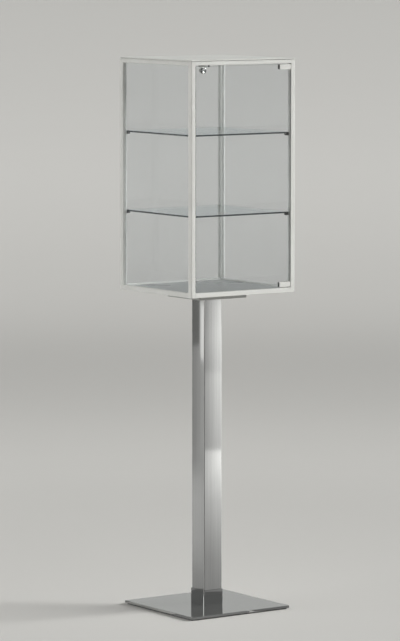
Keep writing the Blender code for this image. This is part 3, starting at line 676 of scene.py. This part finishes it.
def make_column():
    """The square tube, and the sleeve round its foot."""
    low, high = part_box("column")
    side = high.x - low.x
    bore_radius, ease = mm(1.5, 0.2)
    outer = crowned_square(side, COLUMN_RADIUS, COLUMN_CROWN)
    inner = square(side - 2 * COLUMN_WALL, bore_radius, 3)
    tube = extrusion(outer, low.z, high.z, holes=[inner])
    piece("square_column", tube, "cabinet", [TUBE], ["column"], ease, angle=30)

    low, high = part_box("base_collar")
    wall, lip = mm(2.2, 0.5)
    profile = [(0, low.z), (0, high.z - lip), (0.3 * lip, high.z - 0.3 * lip), (lip, high.z),
               (wall - 0.3 * lip, high.z), (wall, high.z - 0.3 * lip), (wall, low.z)]
    rings = slab_rings(high.x, high.y, COLLAR_RADIUS, profile)
    piece("column_sleeve", loft(rings, closed=True), "cabinet", [SLEEVE], ["base_collar"],
          angle=50)


def make_head_pan():
    """The folded pan between the column and the case."""
    low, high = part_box("head_pan")
    radius, edge, bend = mm(5, 0.5, 3)
    profile = [(PAN_SHEET, high.z - PAN_SHEET), (PAN_SHEET, low.z + edge), (PAN_SHEET - edge, low.z),
               (edge, low.z), (0, low.z + edge), (0, high.z - bend),
               (0.3 * bend, high.z - 0.3 * bend), (bend, high.z)]
    rings = slab_rings(high.x, high.y, radius, profile)
    piece("support_pan", loft(rings), "cabinet", [PAN_PAINT], ["head_pan"], angle=50)


def make_pan_bolts():
    """The hexagon bolts through the pan, each with its head down and a chamfer at both ends."""
    flat, head, shank, chamfer = mm(4.93, 4, 3, 0.5)
    for corner, _, _ in CORNERS:
        node = f"head_bolt_{corner}"
        low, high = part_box(node)
        at = middle(node)
        rings = [hex_ring(flat, 0, low.z), hex_ring(flat, 1, low.z + chamfer),
                 hex_ring(flat, 1, low.z + head)]
        for radius, height in ((shank, low.z + head), (shank, high.z - chamfer), (shank - chamfer, high.z)):
            rings.append([(*point, height) for point in circle(radius, len(rings[0]))])
        solid = moved(loft(rings), (at.x, at.y, 0))
        piece(f"pan_bolt_{corner}", solid, "cabinet", [ZINC], [node], angle=30)


# ------------ the glass

FLAT = 0.999   # a face is one of the sheet's own if its normal has this much along the sheet's axis


def mark_faces(solid, index):
    """Give a sheet's own faces the first material and its rim the second."""
    for face in solid.faces:
        face.material_index = 0 if abs(face.normal[index]) > FLAT else 1


def glass_sheet(name, outline, low, high, axis, body, node, holes=(), arris=0.45 * MM):
    """A glass sheet whose faces are clear and whose rim and arrises are the darker ground glass, darkened
    partly by painted shade.
    """
    solid = extrusion(outline, low, high, axis, holes)
    index = "XYZ".index(axis)
    rims = [edge for edge in solid.edges
            if abs(edge.verts[0].co[index] - edge.verts[1].co[index]) < MM / 100
            and len(edge.link_faces) == 2
            and abs(abs(edge.link_faces[0].normal[index]) - abs(edge.link_faces[1].normal[index])) > 0.5]
    bmesh.ops.bevel(solid, geom=rims, offset=arris, segments=2, affect="EDGES", profile=0.6)
    mark_faces(solid, index)
    return piece(name, solid, body, [GLASS, RIM], [node], angle=30)


def opening(side):
    """How far the clear opening behind a fixed pane reaches to each side, and its bottom and top."""
    post_low, post_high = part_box("post_back_left")
    reach = -post_high.x if side == "back" else post_low.y
    return reach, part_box("rail_left_bottom")[1].z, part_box("rail_left_top")[0].z


def make_pane(side, axis):
    """A fixed pane that is clear in its opening and masked white where it stands in the grooves. The white
    stands for a gasket there, and is also painted light for the brightness that light carried inside the
    glass gives the grooves.
    """
    low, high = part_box(f"pane_{side}")
    index = "XYZ".index(axis)
    along = 1 - index
    reach, bottom, top = opening(side)
    mouth = rectangle(-reach, bottom, reach, top)
    radius, slit = mm(1, 0.05)   # the slit keeps the clear and the masked faces apart
    around = rectangle(-reach - slit, bottom - slit, reach + slit, top + slit)
    outline = fillet(rectangle(low[along], low.z, high[along], high.z), radius, 3)
    pane = extrusion(outline, low[index], high[index], axis, [around])
    # the masked border takes the seal's white: partly a gasket's colour, partly painted light in the grooves
    for face in pane.faces:
        face.material_index = 1
    core = extrusion(mouth, low[index], high[index], axis)
    mark_faces(core, index)
    scratch = bpy.data.meshes.new("scratch")
    core.to_mesh(scratch)
    core.free()
    pane.from_mesh(scratch)
    bpy.data.meshes.remove(scratch)
    piece(f"{side}_glass", pane, "cabinet", [GLASS, SEAL], [f"pane_{side}"], angle=30)


def make_glass():
    for side, axis in (("left", "X"), ("right", "X"), ("back", "Y")):
        make_pane(side, axis)

    radius, arris, hole_radius = mm(2.5, 0.6, 7.6)
    for shelf in SHELVES:
        low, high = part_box(f"shelf_{shelf}")
        outline = fillet(rectangle(low.x, low.y, high.x, high.y), radius, 5)
        glass_sheet(f"{shelf}_glass_shelf", outline, low.z, high.z, "Z", "cabinet", f"shelf_{shelf}",
                    arris=arris)

    low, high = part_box("door_glass")
    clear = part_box("hinge_clamp_bottom")[1].z - low.z + GAP
    notch = CLAMP_SLOT_END - GAP
    outline = [(low.x, low.z), (notch, low.z), (notch, low.z + clear), (high.x, low.z + clear),
               (high.x, high.z - clear), (notch, high.z - clear), (notch, high.z), (low.x, high.z)]
    lock = middle("lock_body")
    hole = circle(hole_radius, 40, (lock.x, lock.z))
    outline = fillet(outline, mm(1.5, 1, 2, 1, 1, 2, 1, 1.5), 5)
    glass_sheet("glass_door", outline, low.y, high.y, "Y", "door", "door_glass", [hole])


def make_glazing_strips():
    """Soft wedges that hold each fixed pane in its grooves, on both of its faces."""
    width, proud, sunk, thin, off_glass = mm(0.9, 1.3, 3.8, 0.22, 0.05)
    section = ((-sunk, 0), (proud, 0), (0.5 * proud, 0.75 * width), (0.05 * proud, width),
               (0.05 * proud, thin), (-sunk, thin))
    for side in ("left", "right", "back"):
        low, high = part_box(f"pane_{side}")
        reach, bottom, top = opening(side)
        axis = "Y" if side == "back" else "X"
        index = "XYZ".index(axis)
        for plane, out in ((low[index], -1), (high[index], 1)):
            at = plane + out * off_glass
            rings = []
            for sign_a, sign_b in ((-1, -1), (1, -1), (1, 1), (-1, 1)):
                level = top if sign_b > 0 else bottom
                rings.append([
                    LIFT[axis](sign_a * (reach - inwards), level - sign_b * inwards, at + out * outwards)
                    for inwards, outwards in section])
            solid = loft(rings, closed=True)
            name = f"{side}_glazing_{'inner' if out * plane < 0 else 'outer'}"
            piece(name, solid, "cabinet", [SEAL], angle=30)


# ------------ shelf supports and small fittings

def make_supports():
    """The black clips under the shelves' corners, each with a stud that goes into its post."""
    foot, stop, width, stud_up = mm(5.5, 5.2, 10, 3)
    for shelf in SHELVES:
        for corner, side_x, side_y in CORNERS:
            node = f"support_{shelf}_{corner}"
            low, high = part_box(node)
            size = high - low
            outline = [(0, 0), (size.y, 0), (size.y, foot), (stop, foot), (stop, size.z), (0, size.z)]
            outline = fillet(outline, mm(1.2, 1.2, 0.4, 0.5, 0.8, 0.8), 4)
            block = extrusion(outline, size.x - width, size.x, "X")
            stud = turned(scaled(SUPPORT_STUD), (0, stud_up, foot / 2), "X", 20, closed=False)
            solid = combined(block, stud, "UNION")
            outer = (*outer_corner(low, high, side_x, side_y), low.z)
            piece(f"shelf_clip_{shelf}_{corner}", moved(mirrored(solid, side_x, side_y), outer), "cabinet",
                  [BLACK], [node], ease=0.35 * MM, angle=35)


def make_hinges():
    """The clamps that hold the door's corners, each with a slot, a pin bore, liners and two screws."""
    pivot_x, pivot_y, _ = JOINTS["door_swing"]["pos_m"]
    glass_low, glass_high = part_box("door_glass")
    slot_low, slot_high = glass_low.y - GAP, glass_high.y + GAP
    bore_radius, bore_deep = mm(2.8, 10.3)
    liner_gap, liner_out, liner_in = mm(0.03, 1.1, 0.6)
    socket_radius, socket_deep = mm(1.3, 1.6)
    for level in LEVELS:
        node = f"hinge_clamp_{level}"
        low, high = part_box(node)
        outline = [(low.x, low.y), (high.x, low.y), (high.x, high.y), (low.x, high.y), (low.x, slot_high),
                   (CLAMP_SLOT_END, slot_high), (CLAMP_SLOT_END, slot_low), (low.x, slot_low)]
        solid = extrusion(fillet(outline, mm(0.6, 2.5, 2.5, 0.6, 0.3, 0, 0, 0.3), 6), low.z, high.z)
        at = low.z - MM if level == "bottom" else high.z - bore_deep
        bore = extrusion(circle(bore_radius, 32, (pivot_x, pivot_y)), at, at + bore_deep + MM)
        solid = combined(solid, bore, "DIFFERENCE")
        piece(f"door_clamp_{level}", solid, "door", [WHITE], [node], ease=0.4 * MM,
              segments=3)

        for name, inner, outer in (("front", glass_low.y, slot_low), ("back", glass_high.y, slot_high)):
            near, far = sorted((inner, outer))
            section = rectangle(low.x - liner_out, near + liner_gap, CLAMP_SLOT_END - MM, far - liner_gap)
            liner = extrusion(section, low.z + liner_in, high.z - liner_in)
            piece(f"clamp_liner_{level}_{name}", liner, "door", [BLACK])

        for number, x in enumerate(CLAMP_SCREWS, 1):
            screw_at = (x, high.y, (low.z + high.z) / 2)
            head = turned(scaled(CLAMP_SCREW), screw_at, "Y", 32, closed=False)
            socket = moved(extrusion(circle(socket_radius, 6), -socket_deep, MM, "Y"), screw_at)
            piece(f"clamp_screw_{level}_{number}", combined(head, socket, "DIFFERENCE"), "door",
                  [ZINC], angle=30)
        keep(f"hinge_pin_{level}", ZINC)


def make_closing_side():
    """The seal, the strike plate and the door's stop, on the lock's side."""
    low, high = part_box("door_seal")
    outline = fillet(rectangle(low.x, low.y, high.x, high.y), mm(0.3, 1.1, 1.1, 0.3), 6)
    piece("lock_side_seal", extrusion(outline, low.z, high.z), "cabinet", [SEAL], ["door_seal"])

    low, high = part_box("strike_plate")
    sheet, bend, edge = mm(1.3, 1.6, 0.2)
    outline = [(low.y, high.z - sheet), (high.y - sheet, high.z - sheet), (high.y - sheet, low.z),
               (high.y, low.z), (high.y, high.z), (low.y, high.z)]
    radii = [edge, bend - sheet, edge, edge, bend, edge]
    piece("lock_strike", extrusion(fillet(outline, radii, 5), low.x, high.x, "X"), "cabinet",
          [ZINC], ["strike_plate"], edge)

    low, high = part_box("door_bumper")
    at = middle("door_bumper")
    wide = (high.x - low.x) / 2
    neck = 0.88 * wide
    rim, slope, shoulder, nose = mm(1.2, 1.5, 1, 0.3)
    profile = [(0, high.z), (wide, high.z), (wide, high.z - rim), (neck, high.z - slope),
               (neck, low.z + shoulder), (0.7 * wide, low.z + nose), (0.4 * wide, low.z), (0, low.z)]
    piece("stop_bumper", turned(profile, (at.x, at.y, 0), "Z", 32, closed=False), "cabinet",
          [BLACK], ["door_bumper"], angle=30)


def thread(radius, start, end, pitch=1.0 * MM, depth=0.35 * MM):
    """Profile points of a threaded length, seen from the side."""
    turns = int((end - start) / pitch)
    return [(radius - sunk * depth, start + (turn + share) * pitch)
            for turn in range(turns) for sunk, share in THREAD_TURN]


def cut_slots(solid, sizes, low, high, at):
    """Cut rectangles of (width, height) in millimetres into a solid, from low to high along Y."""
    for wide, tall in sizes:
        a, b = mm(wide / 2, tall / 2)
        slot = moved(extrusion(rectangle(-a, -b, a, b), low, high, "Y"), at)
        solid = combined(solid, slot, "DIFFERENCE")
    return solid


def make_lock_body(at):
    low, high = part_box("lock_body")
    profile = [(radius, low.y + along) for radius, along in scaled(LOCK_FACE)]
    bore = profile[0][0]
    radius, flange_back = profile[-1]
    run_in, run_out = mm(0.4, 0.6)
    profile += thread(radius, flange_back + run_in, high.y - run_out)
    profile += [(radius - run_in, high.y), (bore, high.y)]
    piece("lock_cylinder", turned(profile, at, "Y", 64), "door", [CHROME], ["lock_body"],
          angle=30)

    low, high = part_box("lock_nut")
    steps = 48
    corner_radius, bore, chamfer = mm(10.2, 7.3, 0.5)
    flat = corner_radius * math.cos(math.pi / 6)
    rings = [hex_ring(flat, grow, y, steps) for grow, y in (
        (0, low.y), (1, low.y + chamfer), (1, high.y - chamfer), (0, high.y))]
    rings = [[LIFT["Y"](*point) for point in ring] for ring in rings]
    near, far = ([(a, y, b) for a, b in circle(bore, steps)] for y in (low.y, high.y))
    nut = loft([near, *rings, far], closed=True)
    piece("lock_fixing_nut", moved(nut, at), "door", [ZINC], ["lock_nut"], angle=30)


def make_lock_plug(at):
    low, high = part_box("lock_plug")
    radius, lip_in, lip_up, tail_long, half = mm(4, 0.5, 0.4, 2.1, 2.5)
    hole_radius, hole_deep, key_deep, ease = mm(1.8, 5.3, 3, 0.12)
    plug_end = high.y - tail_long
    profile = [(0, low.y), (radius - lip_in, low.y), (radius, low.y + lip_up), (radius, plug_end),
               (0, plug_end)]
    plug = turned(profile, at, "Y", 48, closed=False)
    tail = moved(extrusion(rectangle(-half, -half, half, half), plug_end - MM, high.y, "Y"), at)
    plug = combined(plug, tail, "UNION")
    plug = cut_slots(plug, ((1.0, 5.0), (2.2, 1.3)), low.y - MM, low.y + key_deep, at)
    hole = moved(extrusion(circle(hole_radius, 20), high.y - hole_deep, high.y + MM, "Y"), at)
    plug = combined(plug, hole, "DIFFERENCE")
    piece("lock_key_plug", plug, "lock_barrel", [CHROME], ["lock_plug"], ease, angle=30)


def make_lock_cam(at):
    low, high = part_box("lock_cam")
    hub, nose, half, ease = mm(6, 3.5, 2.8, 0.25)
    tip = high.x - at[0] - nose
    lean = math.asin((hub - nose) / tip)
    start = math.pi / 2 - lean
    outline = [(hub * math.cos(t), hub * math.sin(t))
               for t in (start + (2 * math.pi - 2 * start) * step / 32 for step in range(33))]
    outline += [(tip + nose * math.cos(t), nose * math.sin(t))
                for t in (-start + 2 * start * step / 16 for step in range(17))]
    cam = extrusion(outline, low.y, high.y, "Y", [rectangle(-half, -half, half, half)])
    piece("lock_cam_lever", moved(cam, at), "lock_barrel", [ZINC], ["lock_cam"], ease)

    low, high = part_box("cam_screw")
    head = scaled(CAM_SCREW_HEAD)
    under = high.y - head[-1][1]
    shank, point, slot_deep = mm(1.5, 0.3, 1.2)
    profile = [(0, low.y), (shank - point, low.y), (shank, low.y + point), (shank, under)]
    profile += [(radius, under + along) for radius, along in head]
    screw = turned(profile, at, "Y", 40, closed=False)
    screw = cut_slots(screw, ((0.7, 3.6), (3.6, 0.7)), high.y - slot_deep, high.y + MM, at)
    piece("cam_fixing_screw", screw, "lock_barrel", [ZINC], ["cam_screw"], angle=30)


def make_lock():
    lock = middle("lock_body")
    at = (lock.x, 0, lock.z)
    make_lock_body(at)
    make_lock_plug(at)
    make_lock_cam(at)


def finish_kept_nodes():
    keep("column_foot", DARK_STEEL)
    keep("base_bolt", ZINC)
    for corner, _, _ in CORNERS:
        for level in LEVELS:
            keep(f"connector_{corner}_{level}", NYLON)


# ------------ studio

FLOOR_RADIUS = 220.0
FLOOR_DROP = 0.2 * MM   # keeps the floor clear of the pad's underside
FLOOR_PAINTED_LIGHT = (   # distance from the object in metres, then the floor's colour there, which paints the light and shade of a lit sweep
    (0.0, 0.76), (0.9, 0.715), (2.3, 0.665), (3.0, 0.705), (4.0, 0.68), (5.4, 0.595), (7.2, 0.545),
    (8.8, 0.63), (10.5, 0.665), (15.0, 0.715), (21.0, 0.745), (29.0, 0.725), (43.0, 0.695),
    (60.0, 0.685), (110.0, 0.655))
FLOOR_TINT = (1.0, 0.978, 0.960)

# Reflector cards, glowing sectors that only the steel mirrors: their radiance paints the floor's light and
# shade there, with a painted shadow beside the plate in the darkest rows. Each row has a distance from the
# column, then the radiance at its left and right edges
CARD_HEIGHT = 3 * MM
CARD_TINT = (1.0, 0.995, 0.97)
CARD_DARKEST = 0.15
RIGHT_CARD = (
    (0.21, 0.16, 0.16), (0.325, 0.16, 0.17), (0.33, 0.33, 0.35), (0.64, 0.36, 0.40), (0.95, 0.38, 0.45),
    (1.38, 0.45, 0.55), (1.84, 0.54, 0.68), (2.33, 0.62, 0.82), (2.85, 0.72, 1.07), (3.42, 0.76, 1.38),
    (3.70, 0.76, 1.44), (3.72, 0.46, 0.76), (4.69, 0.50, 0.92), (5.90, 0.53, 1.07), (6.50, 0.53, 1.16),
    (6.52, 0.38, 0.98), (7.90, 0.46, 1.16), (8.50, 0.44, 1.22), (9.58, 0.38, 1.18), (10.4, 0.34, 1.10))
LEFT_CARD = (
    (0.33, 0.32, 0.32), (0.64, 0.35, 0.36), (0.93, 0.42, 0.43), (1.36, 0.49, 0.49), (2.31, 0.53, 0.53),
    (2.84, 0.49, 0.50), (3.10, 0.42, 0.45), (3.40, 0.36, 0.43), (4.00, 0.335, 0.46), (7.90, 0.335, 0.49))
FAR_LEFT_CARD = ((7.73, 0.19, 0.95), (10.6, 0.18, 1.05))
# painted shadow: the floor beside the plate, as the steel mirrors it
NEAR_LEFT_CARD = ((0.20, 0.15, 0.15), (0.27, 0.15, 0.15))
FRONT_CARD = ((0.21, 0.22, 0.22), (10.4, 0.22, 0.22))
CARDS = (   # name, both edges' bearings and how far they run on, rows, slant, layer
    ("card_right", -57.2, -52.6, 16, 75, RIGHT_CARD, 0.0, 0),
    ("card_left", 124.1, 127.5, 16, 16, LEFT_CARD, 0.0, 0),
    ("card_far_left", 125.8, 126.6, 16, 16, FAR_LEFT_CARD, 0.7, 1),
    ("card_near_left", 124.1, 129.0, 16, 16, NEAR_LEFT_CARD, -0.08, 1),
    ("card_front", 195.0, 283.0, 0, 0, FRONT_CARD, 0.0, 0),
)


def painted_light_floor():
    """A plain pale floor whose colour paints the light and shade of a lit sweep, by its distance from the
    object.
    """
    s = Surface("studio_floor")
    widest = FLOOR_PAINTED_LIGHT[-1][0]
    reach = s.add("ShaderNodeVectorMath", ((0, s.place),), operation="LENGTH").outputs["Value"]
    share = s.add("ShaderNodeMath", ((0, reach), (1, widest)), operation="DIVIDE").outputs[0]
    ramp = s.add("ShaderNodeValToRGB", (("Fac", share),))
    ramp.color_ramp.interpolation = "B_SPLINE"
    stops = ramp.color_ramp.elements
    while len(stops) < len(FLOOR_PAINTED_LIGHT):
        stops.new(0.5)
    # each stop's colour paints the sweep's light and shade at that distance
    for stop, (distance, tone) in zip(stops, FLOOR_PAINTED_LIGHT):
        stop.position = distance / widest
        stop.color = (*(tone * tint for tint in FLOOR_TINT), 1)
    cloud = s.range(s.noise(1.1, 2), 0, 0.012)
    s.colour(s.blend(cloud, ramp.outputs["Color"], (0.5, 0.5, 0.49)))
    s.roughness(s.range(s.noise(30, 3), 0.75, 0.85))
    s.set(Specular_IOR_Level=0.0)
    return s.material


def stage_piece(name, solid, material):
    thing = placed(name, solid, material)
    return thing


def card_material():
    """Plain emission whose strength each vertex holds."""
    s = Surface("reflector_card")
    s.tree.nodes.remove(s.shader)
    radiance = s.add("ShaderNodeAttribute", attribute_name="radiance").outputs["Color"]
    s.link(s.add("ShaderNodeEmission", (("Color", radiance),)).outputs[0], s.output)
    return s.material


def make_card(name, left, right, left_more, right_more, rows, slant, layer):
    """A sector on the floor that only shows in the steel, its bearings in degrees about the column."""
    solid = bmesh.new()
    radiance = solid.verts.layers.float_color.new("radiance")
    # bearing, side of the slant, how far from the left tone to the right one
    bearings = ((left - left_more, 0, -0.25), (left, 0, 0), (right, 1, 1), (right + right_more, 1, 1.35))
    grid = []
    for distance, *tones in rows:
        line = []
        for bearing, side, share in bearings:
            turn = math.radians(bearing)
            out = distance - slant * side
            tone = max(CARD_DARKEST, tones[0] + (tones[1] - tones[0]) * share)
            vert = solid.verts.new((out * math.cos(turn), out * math.sin(turn), CARD_HEIGHT + layer * MM))
            vert[radiance] = (*(tone * tint for tint in CARD_TINT), 1)
            line.append(vert)
        grid.append(line)
    for near, far in zip(grid, grid[1:]):
        for index in range(len(near) - 1):
            corners = (near[index], near[index + 1], far[index + 1], far[index])
            if (corners[0].co - corners[1].co).length > MM:
                solid.faces.new(corners)
    card = stage_piece(name, solid, card_material())
    for ray in ("camera", "diffuse", "shadow", "transmission", "volume_scatter"):
        setattr(card, f"visible_{ray}", False)


def make_stage():
    disc = bmesh.new()
    bmesh.ops.create_circle(disc, cap_ends=True, radius=FLOOR_RADIUS, segments=96)
    stage_piece("studio_floor", moved(disc, (0, 0, -FLOOR_DROP)), painted_light_floor())
    for card in CARDS:
        make_card(*card)


# Sky of the studio: radiance by direction, with two softboxes
SKY_TINT = (0.988, 1.0, 0.972)
SKY_UP = 0.20
SKY_AHEAD = 0.52   # low down, beyond the object as the camera sees it
SKY_ASIDE = 0.19   # low down, to the sides
SOFTBOXES = (   # bearing, half width, height, half height in degrees, radiance
    (-26.0, 16.0, 24.0, 11.0, 18.6),
    (160.0, 25.0, 18.0, 15.0, 2.4),
)
SOFTBOX_EDGE = math.radians(4)
SKY_NARROW = 0.45   # how directly a low view must look ahead before it brightens
SKY_RISE = 1.9   # one over the sine of the height where the sky is plain
BACKDROP = 0.50   # radiance of the plain backdrop above the floor, in low views


class Sky(NodeTree):
    """The world's node tree with a few short ways to fill it."""

    def __init__(self, name):
        bpy.context.scene.world = bpy.data.worlds.new(name)
        super().__init__(bpy.context.scene.world)
        self.background = self.tree.nodes["Background"]
        self.direction = self.add("ShaderNodeTexCoord").outputs["Generated"]
        self.z = self.add("ShaderNodeSeparateXYZ", ((0, self.direction),)).outputs["Z"]

    def math(self, operation, *values, clamp=False):
        return self.add("ShaderNodeMath", enumerate(values), operation=operation,
                        use_clamp=clamp).outputs[0]

    def along(self, vector):
        """How far the looked-at direction goes along a vector."""
        return self.add("ShaderNodeVectorMath", ((0, self.direction), (1, vector)),
                        operation="DOT_PRODUCT").outputs["Value"]

    def window(self, angle, centre, half):
        """1 within half of centre and 0 outside, with a soft edge."""
        off = self.math("ABSOLUTE", self.math("SUBTRACT", angle, centre))
        inside = self.math("SUBTRACT", half + SOFTBOX_EDGE / 2, off)
        return self.math("DIVIDE", inside, SOFTBOX_EDGE, clamp=True)

    def softbox(self, bearing, half_width, height, half_height, radiance):
        """A glowing rectangle, its bearing measured from a vector so that it can't wrap round."""
        turn = math.radians(bearing)
        ahead = self.along((math.cos(turn), math.sin(turn), 0))
        aside = self.along((-math.sin(turn), math.cos(turn), 0))
        wide = self.window(self.math("ARCTAN2", aside, ahead), 0.0, math.radians(half_width))
        tall = self.window(self.math("ARCSINE", self.z), math.radians(height), math.radians(half_height))
        return self.math("MULTIPLY", self.math("MULTIPLY", wide, tall), radiance)


def make_light():
    sky = Sky("soft_studio")
    ahead = sky.along((-math.sin(CAMERA_AZIMUTH), math.cos(CAMERA_AZIMUTH), 0))
    forward = sky.math("SUBTRACT", ahead, SKY_NARROW, clamp=True)
    low = sky.math("MULTIPLY_ADD", forward, (SKY_AHEAD - SKY_ASIDE) / (1 - SKY_NARROW), SKY_ASIDE)
    rise = sky.math("MULTIPLY", sky.z, SKY_RISE, clamp=True)
    step = sky.math("MULTIPLY", sky.math("SUBTRACT", SKY_UP, low), sky.math("MULTIPLY", rise, rise))
    total = sky.math("ADD", low, step)
    for softbox in SOFTBOXES:
        total = sky.math("ADD", total, sky.softbox(*softbox))
    seen = sky.add("ShaderNodeLightPath").outputs["Is Camera Ray"]
    total = sky.math("MULTIPLY_ADD", seen, sky.math("SUBTRACT", BACKDROP, total), total)
    sky.link(total, sky.background.inputs["Strength"])
    sky.background.inputs["Color"].default_value = (*SKY_TINT, 1)


def make_camera():
    data = bpy.data.cameras.new("view")
    data.lens = CAMERA_LENS
    data.sensor_width = CAMERA_SENSOR
    data.clip_end = 400
    camera = bpy.data.objects.new("view", data)
    bpy.context.scene.collection.objects.link(camera)
    camera.location = (math.sin(CAMERA_AZIMUTH) * CAMERA_DISTANCE,
                       -math.cos(CAMERA_AZIMUTH) * CAMERA_DISTANCE, CAMERA_HEIGHT)
    camera.rotation_euler = (math.pi / 2 - CAMERA_PITCH, 0, CAMERA_AZIMUTH + CAMERA_PAN)
    bpy.context.scene.camera = camera


make_posts()
make_rails()
make_top_and_floor()
make_base()
make_column()
make_head_pan()
make_pan_bolts()
make_glass()
make_glazing_strips()
make_supports()
make_hinges()
make_closing_side()
make_lock()
finish_kept_nodes()
make_stage()
make_light()
make_camera()
bpy.context.scene.view_settings.view_transform = "Standard"
